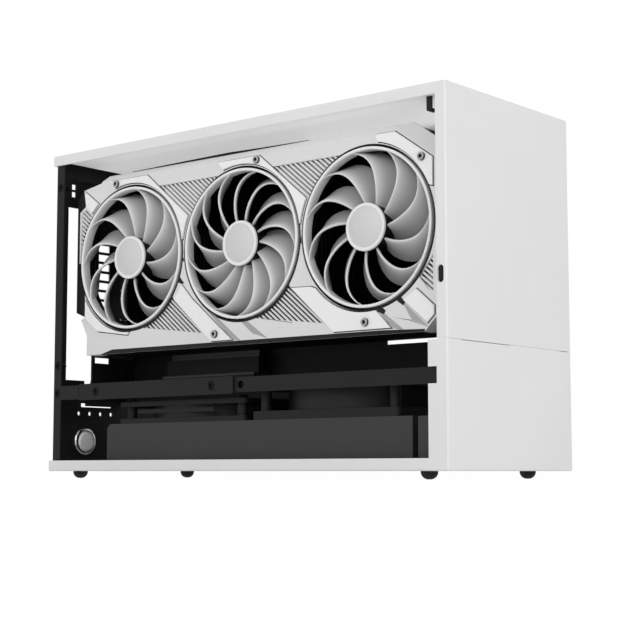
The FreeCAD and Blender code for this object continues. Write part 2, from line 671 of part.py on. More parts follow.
def rail_rear():
    """Rear bar of a mid rail, with a tongue behind the frame's tab."""
    bar = slab(RAIL_JOINT, TAB_FRONT - RAIL_TAB_GAP, SHEET, 2 * SHEET,
               RAIL_BASE - REAR_RAIL_LIP, RAIL_TOP + REAR_RAIL_LIP)
    root = slab(TAB_FRONT - RAIL_TAB, TAB_FRONT, 2 * SHEET, 3 * SHEET, RAIL_BASE, RAIL_TOP)
    tongue = slab(TAB_FRONT, REAR_INNER, 2 * SHEET, 3 * SHEET, RAIL_BASE, RAIL_TOP)
    return bar.fuse([root, tongue]).cut(screw_bores())


def rail_front():
    """Front bar of a mid rail, lapped behind the rear bar and ending at the front sheet."""
    bar = slab(SHEET, RAIL_JOINT + RAIL_LAP, 2 * SHEET, 3 * SHEET, RAIL_BASE, RAIL_TOP)
    foot = slab(SHEET, 2 * SHEET, SHEET, 2 * SHEET, RAIL_BASE, RAIL_TOP)
    hole = side_rod(RAIL_JOINT - BRACE_HOLE_OFFSET, RAIL_CENTRE, BRACE_HOLE_DIAMETER, 0, TRAY_DEPTH)
    return bar.fuse(foot).cut(screw_bores() + [hole])


def case_screws():
    """Flush screws in the posts and rails of both sides."""
    screws = []
    for run, height in screw_places():
        head = side_rod(run, height, SCREW_HEAD, SHEET, SHEET + SCREW_HEAD_HEIGHT)
        shank = side_rod(run, height, SCREW_SHANK, SHEET, 3 * SHEET + SCREW_REACH)
        screw = head.fuse(shank)
        screws += [screw, mirrored(screw)]
    return group(screws)


def cross_brace():
    """Flat bar from rail to rail with its ends turned down."""
    base = RAIL_TOP - BRACE_THICKNESS
    span = slab(BRACE_FRONT, BRACE_REAR, 3 * SHEET, CASE_WIDTH - 3 * SHEET, base, RAIL_TOP)
    end = slab(BRACE_FRONT, BRACE_REAR, 3 * SHEET, 4 * SHEET, RAIL_BASE, RAIL_TOP)
    hole = side_rod(RAIL_JOINT - BRACE_HOLE_OFFSET, RAIL_CENTRE, BRACE_HOLE_DIAMETER, 0, CASE_WIDTH)
    return span.fuse([end, mirrored(end)]).cut(hole)


def standoff_places():
    rows = (BOARD_FRONT_ROW, BOARD_REAR_ROW)
    columns = (BOARD_CENTRE - BOARD_COLUMN_SPACING / 2, BOARD_CENTRE + BOARD_COLUMN_SPACING / 2)
    return [(run, height) for run in rows for height in columns]


def motherboard_tray():
    """Flat tray between rear frame, inner top panel and cross brace, with a large rear window."""
    tray = slab(TRAY_FRONT, REAR_INNER, TRAY_DEPTH, TRAY_BACK, TRAY_BASE, LINER_BASE)
    corner = slab(0, BRACE_REAR, TRAY_DEPTH - OVERCUT, TRAY_BACK + OVERCUT, 0, RAIL_TOP)
    middle = (BOARD_FRONT_ROW + BOARD_REAR_ROW) / 2
    half = TRAY_WINDOW / 2
    window = slab(middle - half, middle + half, TRAY_DEPTH - OVERCUT, TRAY_BACK + OVERCUT,
                  BOARD_CENTRE - half, BOARD_CENTRE + half)
    middle = point(0, TRAY_DEPTH + SHEET / 2, 0).y
    window = rounded(window, lambda centre: near(centre.y, middle), TRAY_WINDOW_ROUND)
    return tray.cut([corner, window])


def board_standoffs():
    posts = []
    for run, height in standoff_places():
        post = side_rod(run, height, STANDOFF_DIAMETER, TRAY_BACK, TRAY_BACK + STANDOFF_HEIGHT)
        posts.append(post.cut(side_rod(run, height, STANDOFF_BORE, TRAY_BACK, TRAY_BACK + STANDOFF_HEIGHT)))
    return group(posts)


def psu_bracket():
    """Low wall along the tray, a shelf and an upright face plate for the power supply."""
    base = PSU_BASE + SHEET
    wall = slab(SHEET, TRAY_FRONT + PSU_WALL_OVERLAP, TRAY_DEPTH - SHEET, TRAY_DEPTH,
                PSU_BASE, PSU_BASE + PSU_WALL_HEIGHT)
    step = slab(PSU_WALL_STEP_RUN, TRAY_FRONT + PSU_WALL_OVERLAP, TRAY_DEPTH - SHEET, TRAY_DEPTH,
                PSU_BASE, PSU_BASE + PSU_WALL_HEIGHT + PSU_WALL_STEP)
    shelf = slab(PSU_SHELF_FRONT, PSU_FACE_RUN + SHEET, TRAY_DEPTH - SHEET, PSU_FAR_SIDE, PSU_BASE, base)
    face = slab(PSU_FACE_RUN, PSU_FACE_RUN + SHEET, TRAY_DEPTH - SHEET, PSU_FAR_SIDE,
                PSU_BASE, base + PSU_FACE_HEIGHT)
    side = (TRAY_DEPTH + PSU_FAR_SIDE) / 2
    rise = base + PSU_FACE_HEIGHT / 2
    run0 = PSU_FACE_RUN - OVERCUT
    run1 = PSU_FACE_RUN + SHEET + OVERCUT
    cuts = [slab(run0, run1, side - PSU_WINDOW_WIDE / 2, side + PSU_WINDOW_WIDE / 2,
                 rise - PSU_WINDOW_TALL / 2, rise + PSU_WINDOW_TALL / 2)]
    for across in (-1, 1):
        for up in (-1, 1):
            cuts.append(end_rod(side + across * PSU_SPACING_WIDE / 2, rise + up * PSU_SPACING_TALL / 2,
                                PSU_HOLE_DIAMETER, run0, run1))
    return wall.fuse([step, shelf, face]).cut(cuts)


def slot_plate():
    """Recessed plate that the card's bracket is screwed to, with a web to the tray and a top lip."""
    run1 = SLOT_PLATE_RUN + SHEET
    base = CARD_WINDOW_BASE - SLOT_PLATE_DROP
    plate = slab(SLOT_PLATE_RUN, run1, SLOT_PLATE_SIDE, TRAY_DEPTH, base, SLOT_PLATE_TOP)
    web = slab(run1, REAR_INNER, TRAY_DEPTH - SHEET, TRAY_DEPTH, base, SLOT_PLATE_TOP)
    lip = slab(run1, REAR_INNER, SLOT_PLATE_SIDE, TRAY_DEPTH, SLOT_PLATE_TOP - SHEET, SLOT_PLATE_TOP)
    opening = slab(SLOT_PLATE_RUN - OVERCUT, run1 + OVERCUT, SLOT_PLATE_SIDE + SLOT_PLATE_RIM,
                   TRAY_DEPTH - SHEET - SLOT_PLATE_RIM, CARD_WINDOW_BASE + SLOT_PLATE_FOOT,
                   SLOT_PLATE_TOP - SHEET - SLOT_PLATE_RIM)
    side = SLOT_PLATE_SIDE + SLOT_HOLE_SIDE
    half = SLOT_HOLE_WIDTH / 2
    foot = slab(SLOT_PLATE_RUN - OVERCUT, run1 + OVERCUT, side - half, side + half,
                SLOT_HOLE_RISE - SLOT_HOLE_HEIGHT / 2, SLOT_HOLE_RISE + SLOT_HOLE_HEIGHT / 2)
    return plate.fuse([web, lip]).cut([opening, foot])


def riser_bracket():
    """Angle on the tray that carries the riser board."""
    depth = CARD_BOARD_DEPTH + CARD_BOARD / 2 - RISER_BOARD_WIDTH / 2
    shelf = slab(RISER_RUN, RISER_RUN + RISER_LENGTH, depth, TRAY_DEPTH, RISER_SHELF, RISER_SHELF + SHEET)
    tab = slab(RISER_RUN, RISER_RUN + RISER_LENGTH, TRAY_DEPTH - SHEET, TRAY_DEPTH,
               RISER_SHELF, RISER_SHELF + RISER_TAB)
    return shelf.fuse(tab)


def riser_board():
    depth = CARD_BOARD_DEPTH + CARD_BOARD / 2 - RISER_BOARD_WIDTH / 2
    return slab(RISER_RUN, RISER_RUN + RISER_LENGTH, depth, TRAY_DEPTH - SHEET,
                RISER_SHELF + SHEET, RISER_SHELF + SHEET + RISER_BOARD)


def riser_slot():
    """Edge socket for the card, with its groove."""
    centre = CARD_BOARD_DEPTH + CARD_BOARD / 2
    half = RISER_SLOT_WIDTH / 2
    body = slab(RISER_RUN, RISER_RUN + RISER_LENGTH, centre - half, centre + half,
                RISER_TOP - RISER_SLOT_HEIGHT, RISER_TOP)
    end = (RISER_LENGTH - FINGER_LENGTH) / 2 - FIT_GAP
    groove = slab(RISER_RUN + end, RISER_RUN + RISER_LENGTH - end, CARD_BOARD_DEPTH - FIT_GAP / 2,
                  CARD_BOARD_BACK + FIT_GAP / 2, RISER_TOP - RISER_GROOVE, RISER_TOP + OVERCUT)
    return body.cut(groove)


def power_switch_body():
    """Bezel and barrel of the power switch, with the pocket for its button."""
    outer = REAR_FACE + SWITCH_BEZEL_THICKNESS
    bezel = end_rod(SWITCH_DEPTH, SWITCH_RISE, SWITCH_BEZEL, REAR_FACE, outer)
    rim = point(outer, 0, 0).x
    bezel = rounded(bezel, lambda middle: near(middle.x, rim), SWITCH_BEZEL_THICKNESS / 2)
    barrel = end_rod(SWITCH_DEPTH, SWITCH_RISE, SWITCH_BARREL, REAR_INNER - SWITCH_STAND, outer)
    pocket = end_rod(SWITCH_DEPTH, SWITCH_RISE, BUTTON_DIAMETER + 2 * BUTTON_GAP,
                     button_back() - BUTTON_TRAVEL - FIT_GAP, outer + OVERCUT)
    return bezel.fuse(barrel).cut(pocket)


def button_back():
    return REAR_FACE + SWITCH_BEZEL_THICKNESS + BUTTON_PROUD - BUTTON_THICKNESS


def power_switch_nut():
    nut = end_rod(SWITCH_DEPTH, SWITCH_RISE, SWITCH_BEZEL, REAR_INNER - SWITCH_NUT_THICKNESS, REAR_INNER)
    bore = end_rod(SWITCH_DEPTH, SWITCH_RISE, SWITCH_BARREL + 2 * BUTTON_GAP, 0, CASE_LENGTH)
    return nut.cut(bore)


def power_button():
    outer = button_back() + BUTTON_THICKNESS
    button = end_rod(SWITCH_DEPTH, SWITCH_RISE, BUTTON_DIAMETER, button_back(), outer)
    rim = point(outer, 0, 0).x
    return rounded(button, lambda middle: near(middle.x, rim), BUTTON_PROUD / 2)


def power_inlet():
    """Mains inlet: a flange on the rear plate and a socket body behind it."""
    outer = REAR_FACE + INLET_FLANGE_THICKNESS
    half = INLET_WIDTH / 2
    tall = INLET_HEIGHT / 2
    flange = slab(REAR_FACE, outer, INLET_DEPTH - INLET_FLANGE_WIDTH / 2, INLET_DEPTH + INLET_FLANGE_WIDTH / 2,
                  INLET_RISE - INLET_FLANGE_HEIGHT / 2, INLET_RISE + INLET_FLANGE_HEIGHT / 2)
    body = slab(outer - INLET_LENGTH, outer, INLET_DEPTH - half, INLET_DEPTH + half,
                INLET_RISE - tall, INLET_RISE + tall)
    wall = INLET_SOCKET_WALL
    cuts = [slab(outer - INLET_SOCKET_LENGTH, outer + OVERCUT, INLET_DEPTH - half + wall,
                 INLET_DEPTH + half - wall, INLET_RISE - tall + wall, INLET_RISE + tall - wall)]
    for side in (-1, 1):
        cuts.append(end_rod(INLET_DEPTH + side * INLET_SCREW_PITCH / 2, INLET_RISE,
                            SCREW_SHANK + 2 * SCREW_GAP, 0, CASE_LENGTH))
    return flange.fuse(body).cut(cuts)


def inlet_pins():
    """Three flat pins standing on the floor of the socket."""
    floor = REAR_FACE + INLET_FLANGE_THICKNESS - INLET_SOCKET_LENGTH
    pins = []
    for step in (-1, 0, 1):
        depth = INLET_DEPTH + step * INLET_PIN_PITCH
        rise = INLET_RISE + (INLET_PIN_THICKNESS if step == 0 else -INLET_PIN_THICKNESS)
        pins.append(slab(floor, floor + INLET_PIN_LENGTH,
                         depth - INLET_PIN_THICKNESS / 2, depth + INLET_PIN_THICKNESS / 2,
                         rise - INLET_PIN_WIDTH / 2, rise + INLET_PIN_WIDTH / 2))
    return group(pins)


def fan_corners(run):
    """Run and depth of the four holes of a fan centred at this run."""
    half = FAN_HOLE_SPACING / 2
    return [(run + along * half, CASE_WIDTH / 2 + across * half) for along in (-1, 1) for across in (-1, 1)]


def fan_hole_places():
    """Run and depth of the eight screws that hold the two 120 mm fans and the radiator."""
    return fan_corners(FAN_FRONT_RUN) + fan_corners(FAN_REAR_RUN)


def core_box(height0, height1):
    return slab(RADIATOR_MIDDLE - CORE_LENGTH / 2, RADIATOR_MIDDLE + CORE_LENGTH / 2,
                (CASE_WIDTH - CORE_WIDTH) / 2, (CASE_WIDTH + CORE_WIDTH) / 2, height0, height1)


def radiator_body():
    """Side plates, end tanks and the narrower front tank on its neck, brazed as one piece."""
    rear = RADIATOR_FRONT + RADIATOR_LENGTH
    far = RADIATOR_SIDE + RADIATOR_WIDTH
    block = slab(RADIATOR_FRONT, rear, RADIATOR_SIDE, far, RADIATOR_BASE, RADIATOR_TOP)
    corner = side_prism(((rear - RADIATOR_CHAMFER, RADIATOR_TOP), (rear + OVERCUT, RADIATOR_TOP + OVERCUT),
                         (rear, RADIATOR_TOP - RADIATOR_CHAMFER)), 0, CASE_WIDTH)
    neck = slab(RADIATOR_FRONT - TANK_NECK, RADIATOR_FRONT, RADIATOR_SIDE + TANK_INSET, far - TANK_INSET,
                RADIATOR_BASE + TANK_ROUND, RADIATOR_TOP - TANK_ROUND)
    tank_rear = RADIATOR_FRONT - TANK_NECK
    tank = slab(tank_rear - TANK_LENGTH, tank_rear, RADIATOR_SIDE, far, RADIATOR_BASE, RADIATOR_TOP)
    top = point(0, 0, RADIATOR_TOP).z
    tank = rounded(tank, lambda middle: near(middle.z, top), TANK_ROUND)
    holes = [up_rod(run, depth, FAN_SCREW_SHANK + 2 * SCREW_GAP, 0, RADIATOR_TOP + OVERCUT)
             for run, depth in fan_hole_places()]
    return block.cut([corner, core_box(0, CASE_HEIGHT)] + holes).fuse([neck, tank])


def radiator_core():
    """Finned core with the flat tubes standing a little proud of the fins."""
    base = RADIATOR_BASE + CORE_RECESS
    top = RADIATOR_TOP - CORE_RECESS
    core = core_box(base, top)
    pitch = (CORE_WIDTH - CORE_TUBE) / (CORE_TUBE_COUNT - 1)
    side = (CASE_WIDTH - CORE_WIDTH) / 2
    gaps = []
    for step in range(CORE_TUBE_COUNT - 1):
        depth = side + CORE_TUBE + step * pitch
        for height0, height1 in ((0, base + CORE_FIN_RECESS), (top - CORE_FIN_RECESS, RADIATOR_TOP)):
            gaps.append(slab(0, CASE_LENGTH, depth, depth + pitch - CORE_TUBE, height0, height1))
    return core.cut(gaps)


def radiator_gasket():
    """Flat rubber frame between the base and the radiator."""
    rear = RADIATOR_FRONT + RADIATOR_LENGTH
    pad = slab(RADIATOR_FRONT, rear, RADIATOR_SIDE, RADIATOR_SIDE + RADIATOR_WIDTH, SHEET, RADIATOR_BASE)
    bore = FAN_SCREW_SHANK + 2 * SCREW_GAP
    holes = [up_rod(run, depth, bore, 0, RADIATOR_TOP) for run, depth in fan_hole_places()]
    return pad.cut([core_box(0, CASE_HEIGHT)] + holes)


def radiator_plugs():
    """Two port plugs on top of the front tank."""
    run = RADIATOR_FRONT - TANK_NECK - TANK_LENGTH / 2
    diameter = TANK_LENGTH - 2 * TANK_ROUND
    plugs = []
    for side in (-1, 1):
        depth = CASE_WIDTH / 2 + side * PLUG_SPACING / 2
        seat = up_rod(run, depth, diameter, RADIATOR_TOP, RADIATOR_TOP + PLUG_HEIGHT / 2)
        cap = up_rod(run, depth, PLUG_DIAMETER, RADIATOR_TOP + PLUG_HEIGHT / 2, RADIATOR_TOP + PLUG_HEIGHT)
        plugs.append(seat.fuse(cap))
    return group(plugs)


def radiator_screws():
    """Flush screws up through the base into the radiator."""
    screws = []
    for run, depth in fan_hole_places():
        head = up_rod(run, depth, FAN_SCREW_HEAD, 0, SCREW_HEAD_HEIGHT)
        shank = up_rod(run, depth, FAN_SCREW_SHANK, 0, RADIATOR_BASE + FAN_SCREW_REACH)
        screws.append(head.fuse(shank))
    return group(screws)


def fan_frame(run, thickness, flange):
    """Square fan frame: two flanges on a round barrel, with the motor base on struts at the bottom."""
    centre = CASE_WIDTH / 2
    half = FAN_SIZE / 2
    base = RADIATOR_TOP
    top = base + thickness
    middle = (base + top) / 2
    frame = slab(run - half, run + half, centre - half, centre + half, base, top)
    level = point(0, 0, middle).z
    frame = rounded(frame, lambda spot: near(spot.z, level), FAN_CORNER)
    waist = slab(run - half - OVERCUT, run + half + OVERCUT, centre - half - OVERCUT, centre + half + OVERCUT,
                 base + flange, top - flange)
    barrel = up_rod(run, centre, FAN_BORE + 2 * FAN_BARREL_WALL, base, top)
    keep = [up_rod(*place, FAN_HOLE_DIAMETER + 2 * FAN_BARREL_WALL, base, top) for place in fan_corners(run)]
    frame = frame.cut(waist.cut(barrel))
    frame = frame.fuse(keep).cut(up_rod(run, centre, FAN_BORE, base - OVERCUT, top + OVERCUT))
    holes = [up_rod(*place, FAN_HOLE_DIAMETER, base - OVERCUT, top + OVERCUT) for place in fan_corners(run)]
    motor = up_rod(run, centre, FAN_HUB, base, base + FAN_BASE)
    shaft = up_rod(run, centre, SHAFT_DIAMETER, base, top - SHAFT_END - FIT_GAP)
    struts = []
    for step in range(FAN_STRUT_COUNT):
        bar = slab(run, run + (FAN_BORE + FAN_BARREL_WALL) / 2, centre - FAN_STRUT / 2, centre + FAN_STRUT / 2,
                   base, base + FAN_BASE)
        angle = FAN_STRUT_ANGLE + step * 360 / FAN_STRUT_COUNT
        struts.append(bar.rotate(point(run, centre, base), V(0, 0, 1), angle))
    return frame.cut(holes).fuse([motor, shaft] + struts)


def blade_section(radius, lead, chord, front, back, hand):
    """A flat blade section square to the radius; angles in degrees, the edge facing the air comes first."""
    mean = math.radians(hand * (lead - chord / 2))
    outward = V(math.cos(mean), math.sin(mean), 0)
    along = V(-math.sin(mean), math.cos(mean), 0)
    upper = []
    lower = []
    for share in (0.0, 0.5, 1.0):
        reach = hand * radius * math.radians(chord) * (0.5 - share)
        bulge = BLADE_CAMBER * math.sin(math.pi * share)
        level = front + (back - front) * (share + bulge)
        spot = outward * radius + along * reach
        upper.append(spot + V(0, 0, level))
        lower.append(spot + V(0, 0, level - BLADE_THICKNESS))
    corners = upper + lower[::-1]
    return Part.makePolygon(corners + corners[:1])


def blade_ring(count, hub, tip, sweep, flare, chord_hub, chord_tip, front, back, hand):
    """All the blades of a rotor, round +Z, cut to length at the tip."""
    sections = []
    for step in range(BLADE_STATIONS):
        share = step / (BLADE_STATIONS - 1)
        radius = hub + (tip - hub) * share
        lead = sweep * share + flare * share ** BLADE_FLARE_POWER
        chord = chord_hub + (chord_tip - chord_hub) * share
        sections.append(blade_section(radius, lead, chord, front, back, hand))
    blade = Part.makeLoft(sections, True, True)
    limit = Part.makeCylinder(tip, front - back + 4 * BLADE_THICKNESS, V(0, 0, back - 2 * BLADE_THICKNESS))
    blade = blade.common(limit)
    return [blade.rotated(V(0, 0, 0), V(0, 0, 1), 360 * step / count) for step in range(count)]


def fan_rotor(run, thickness):
    """Rotor of a 120 mm fan, hub and blades in one, with the air coming from above."""
    base = FAN_BASE + MOTOR_GAP
    top = thickness - MOTOR_GAP
    hub = Part.makeCylinder(FAN_HUB / 2, top - base, V(0, 0, base))
    hub = rounded(hub, lambda middle: near(middle.z, top), ROTOR_HUB_ROUND)
    tip = FAN_BORE / 2 - FAN_TIP_GAP
    blades = blade_ring(FAN_BLADES, FAN_HUB / 2 - BLADE_BITE, tip, FAN_BLADE_SWEEP, 0, FAN_BLADE_CHORD_HUB,
                        FAN_BLADE_CHORD_TIP, top - MOTOR_GAP, base + BLADE_THICKNESS + MOTOR_GAP, 1)
    bore = Part.makeCylinder(SHAFT_DIAMETER / 2 + SHAFT_GAP, thickness - SHAFT_END)
    rotor = hub.fuse(blades).cut(bore)
    return rotor.translated(point(run, CASE_WIDTH / 2, RADIATOR_TOP))


def fan_screws():
    """Screws down through the fan flanges into the radiator."""
    screws = []
    for run, depth in fan_hole_places():
        thickness = FULL_FAN if run < RADIATOR_MIDDLE else SLIM_FAN
        top = RADIATOR_TOP + thickness
        head = up_rod(run, depth, FAN_SCREW_HEAD, top, top + FAN_SCREW_HEAD_HEIGHT)
        shank = up_rod(run, depth, FAN_SCREW_SHANK, RADIATOR_TOP - FAN_SCREW_REACH, top)
        screws.append(head.fuse(shank))
    return group(screws)


def card_openings(diameter, depth0, depth1):
    """Round bars through the three fan openings of the card."""
    return [side_rod(run, CARD_FAN_HEIGHT, diameter, depth0, depth1) for run in CARD_FAN_RUNS]


def beside_fan(index, outline):
    """An outline round a card fan, turned into case coordinates."""
    return [(CARD_FAN_RUNS[index] + run, CARD_FAN_HEIGHT + height) for run, height in outline]


def card_face():
    """Outline of the shroud's flat face, inside its bevels."""
    return inset(COVER_OUTLINE, COVER_BEVELS)


def louvre_outlines():
    return {
        "louvre_upper_rear": beside_fan(0, LOUVRE_UPPER),
        "louvre_upper_front": beside_fan(1, LOUVRE_UPPER),
        "louvre_lower_rear": beside_fan(0, LOUVRE_LOWER),
        "louvre_lower_front": beside_fan(1, LOUVRE_LOWER),
        "louvre_rear_end": beside_fan(0, LOUVRE_REAR),
        "louvre_front_end": beside_fan(2, LOUVRE_FRONT),
    }


def card_shroud():
    """Moulded front cover: a cup with bevelled upper sides, fan openings, louvre windows and trim pockets."""
    reach = CARD_FRONT + SHROUD_BEVEL_REACH
    cover = tapered_plate(card_face(), COVER_OUTLINE, CARD_FRONT, reach)
    cover = cover.fuse(side_prism(COVER_OUTLINE, reach, SHROUD_BACK))
    walls = [SHROUD_WALL] * (len(CARD_OUTLINE) - 1) + [-OVERCUT]
    outer = inset(CARD_OUTLINE, walls)
    inner = inset(inset(CARD_OUTLINE, FRAME_BEVELS), walls)
    hollow = tapered_plate(inner, outer, CARD_FRONT + SHROUD_WALL, reach + SHROUD_WALL)
    hollow = hollow.fuse(side_prism(outer, reach + SHROUD_WALL, SHROUD_BACK + OVERCUT))
    windows = [side_prism(outline, 0, SHROUD_BACK) for outline in louvre_outlines().values()]
    bores = [side_rod(run, height, SCREW_SHANK, 0, SHROUD_BACK) for run, height in shroud_screw_places()]
    pockets = [trim_pocket(outline) for outline in trim_outlines().values()]
    return cover.cut([hollow] + card_openings(CARD_FAN_OPENING, 0, CASE_WIDTH) + windows + bores + pockets)


def shroud_screw_places():
    places = []
    for index, screws in enumerate((SHROUD_SCREWS_REAR, SHROUD_SCREWS_MIDDLE, SHROUD_SCREWS_FRONT)):
        places += beside_fan(index, screws)
    return places


def trim_outlines():
    return {
        "trim_upper_rear": beside_fan(0, TRIM_UPPER),
        "trim_upper_middle": beside_fan(1, TRIM_UPPER),
        "trim_upper_front": beside_fan(2, TRIM_UPPER_FRONT),
        "trim_lower_rear": beside_fan(0, TRIM_LOWER),
        "trim_lower_front": beside_fan(1, TRIM_LOWER_FRONT),
        "trim_front_corner": beside_fan(2, TRIM_FRONT_CORNER),
        "trim_rear_corner": beside_fan(0, TRIM_REAR_CORNER),
        "trim_rear_upper": beside_fan(0, TRIM_REAR_UPPER),
    }


def trim_blank(outline, groove, depth0, depth1):
    """A trim's outline as a plate inside the shroud's face and clear of the fan openings."""
    edge = inset(card_face(), [TRIM_CLEAR - groove] * len(COVER_OUTLINE))
    blank = side_prism(inset(outline, [-groove] * len(outline)), depth0, depth1)
    blank = blank.common(side_prism(edge, depth0, depth1))
    return blank.cut(card_openings(CARD_FAN_OPENING + 2 * (TRIM_CLEAR - groove), 0, CASE_WIDTH))


def trim_pocket(outline):
    """The shallow pocket that a trim plate lies in, a groove wider all round."""
    return trim_blank(outline, TRIM_GROOVE, CARD_FRONT - OVERCUT, CARD_FRONT + TRIM_POCKET)


def trim_plate(outline):
    """A flat accent plate let into the shroud's face."""
    plate = trim_blank(outline, 0, TRIM_FACE, CARD_FRONT + TRIM_POCKET)
    bores = [side_rod(run, height, SCREW_SHANK, 0, SHROUD_BACK) for run, height in shroud_screw_places()]
    return plate.cut(bores)


def louvre_insert(outline):
    """A ribbed panel that fills a window of the shroud from behind."""
    front = CARD_FRONT + LOUVRE_RECESS
    back = front + LOUVRE_DEPTH
    window = side_prism(outline, front, back + LOUVRE_PLATE)
    runs = [run for run, height in outline]
    heights = [height for run, height in outline]
    centre = point(sum(runs) / len(runs), 0, sum(heights) / len(heights))
    span = max(runs) - min(runs) + max(heights) - min(heights)
    count = int(span / LOUVRE_PITCH / 2)
    ribs = []
    for step in range(-count, count + 1):
        rib = Part.makeBox(2 * span, back - front, LOUVRE_RIB,
                           V(-span, 0, step * LOUVRE_PITCH - LOUVRE_RIB / 2))
        ribs.append(rib.rotated(V(0, 0, 0), V(0, 1, 0), LOUVRE_ANGLE).translated(
            centre + V(0, front, 0)))
    ribs = [window.common(rib) for rib in ribs]
    panel = side_prism(outline, back, back + LOUVRE_PLATE).fuse([rib for rib in ribs if rib.Solids])
    return panel.cut(card_openings(CARD_FAN_OPENING, 0, CASE_WIDTH))


def shroud_screws():
    """Button-head screws on the trim plates and the shroud."""
    screws = []
    for run, height in shroud_screw_places():
        head = side_rod(run, height, SHROUD_SCREW_HEAD, TRIM_FACE - SHROUD_SCREW_HEIGHT, TRIM_FACE)
        shank = side_rod(run, height, SCREW_SHANK - 2 * SCREW_GAP, TRIM_FACE, CARD_FRONT + SHROUD_WALL)
        screws.append(head.fuse(shank))
    return group(screws)


def card_frame():
    """Black inner frame: a plate with fan openings, walls above and below the heatsink, and the end cap."""
    run0 = CARD_RUN + FRAME_MARGIN
    run1 = CARD_REAR - FRAME_MARGIN
    base = CARD_BASE + FRAME_MARGIN
    top = CARD_TOP - SHROUD_WALL
    plate = slab(run0, run1, SHROUD_BACK, SHROUD_BACK + FRAME_PLATE, base, CARD_TOP)
    inner = inset(CARD_OUTLINE, [SHROUD_WALL + FIT_GAP] * (len(CARD_OUTLINE) - 1) + [0])
    ends = [run for run, height in inner if near(height, CARD_BASE)]
    tongue = slab(min(ends), max(ends), CARD_FRONT + SHROUD_WALL, SHROUD_BACK, base, base + FRAME_PLATE)
    floor = slab(run0, run1, SHROUD_BACK, HEATSINK_BACK, base, base + FRAME_PLATE)
    roof = slab(run0, run1, SHROUD_BACK, HEATSINK_BACK, top - FRAME_PLATE, top)
    bounds = side_prism(inset(CARD_OUTLINE, [FRAME_MARGIN] * len(CARD_OUTLINE)), 0, CASE_WIDTH)
    frame = plate.fuse([floor, roof]).cut(card_openings(CARD_FAN_OPENING, 0, HEATSINK_FRONT)).common(bounds)
    cap = side_prism(CAP_OUTLINE, CARD_FRONT + END_CAP_RECESS, SHROUD_BACK)
    return frame.fuse([tongue, cap.cut(card_openings(CARD_FAN_OPENING, 0, HEATSINK_FRONT))])


def card_heatsink():
    """Comb of upright fins on a base with a cold plate."""
    base = CARD_BASE + FRAME_MARGIN + FRAME_PLATE
    top = CARD_TOP - SHROUD_WALL - FRAME_PLATE
    run0 = CARD_RUN + HEATSINK_FRONT_GAP
    count = int((CARD_LENGTH - HEATSINK_FRONT_GAP - HEATSINK_REAR_GAP - FIN_THICKNESS) / FIN_PITCH)
    root = HEATSINK_BACK - HEATSINK_BASE
    outline = [(run0, HEATSINK_BACK)]
    for step in range(count + 1):
        fin = run0 + step * FIN_PITCH
        if step:
            outline.append((fin, root))
        outline += [(fin, HEATSINK_FRONT), (fin + FIN_THICKNESS, HEATSINK_FRONT)]
        if step < count:
            outline.append((fin + FIN_THICKNESS, root))
    outline.append((run0 + count * FIN_PITCH + FIN_THICKNESS, HEATSINK_BACK))
    half = COLD_PLATE / 2
    plate = slab(CARD_MIDDLE - half, CARD_MIDDLE + half, HEATSINK_BACK, CARD_BOARD_DEPTH,
                 CARD_FAN_HEIGHT - half, CARD_FAN_HEIGHT + half)
    bounds = side_prism(inset(CARD_OUTLINE, [SHROUD_WALL + FRAME_PLATE] * len(CARD_OUTLINE)), 0, CASE_WIDTH)
    return plan_prism(outline, base, top).common(bounds).fuse(plate)


def card_board():
    """Circuit board with its edge fingers in the riser slot."""
    board = slab(CARD_RUN + CARD_BOARD_FRONT_GAP, BRACKET_FRONT, CARD_BOARD_DEPTH, CARD_BOARD_BACK,
                 CARD_BOARD_BASE, CARD_BOARD_BASE + CARD_BOARD_HEIGHT)
    end = (RISER_LENGTH - FINGER_LENGTH) / 2
    fingers = slab(RISER_RUN + end, RISER_RUN + RISER_LENGTH - end, CARD_BOARD_DEPTH, CARD_BOARD_BACK,
                   RISER_TOP - FINGER_REACH, CARD_BOARD_BASE)
    return board.fuse(fingers)


def card_backplate():
    """Cover behind the circuit board, on posts."""
    base = CARD_BOARD_BASE
    back = BACKPLATE_FRONT + BACKPLATE
    plate = slab(CARD_RUN + FRAME_MARGIN, CARD_REAR - FRAME_MARGIN, BACKPLATE_FRONT, back,
                 base, base + CARD_BOARD_HEIGHT)
    posts = []
    for run in CARD_FAN_RUNS[:2]:
        for height in (base + BACKPLATE_POST, base + CARD_BOARD_HEIGHT - BACKPLATE_POST):
            posts.append(side_rod(run, height, BACKPLATE_POST, CARD_BOARD_BACK, back))
    return plate.fuse(posts)


def port_places():
    return [CARD_BASE + PORT_RISE + step * PORT_PITCH for step in range(PORT_COUNT)]


def port_block(height, margin, run0, run1):
    return slab(run0, run1, CARD_BOARD_DEPTH - PORT_WIDTH - margin, CARD_BOARD_DEPTH,
                height - margin, height + PORT_HEIGHT + margin)


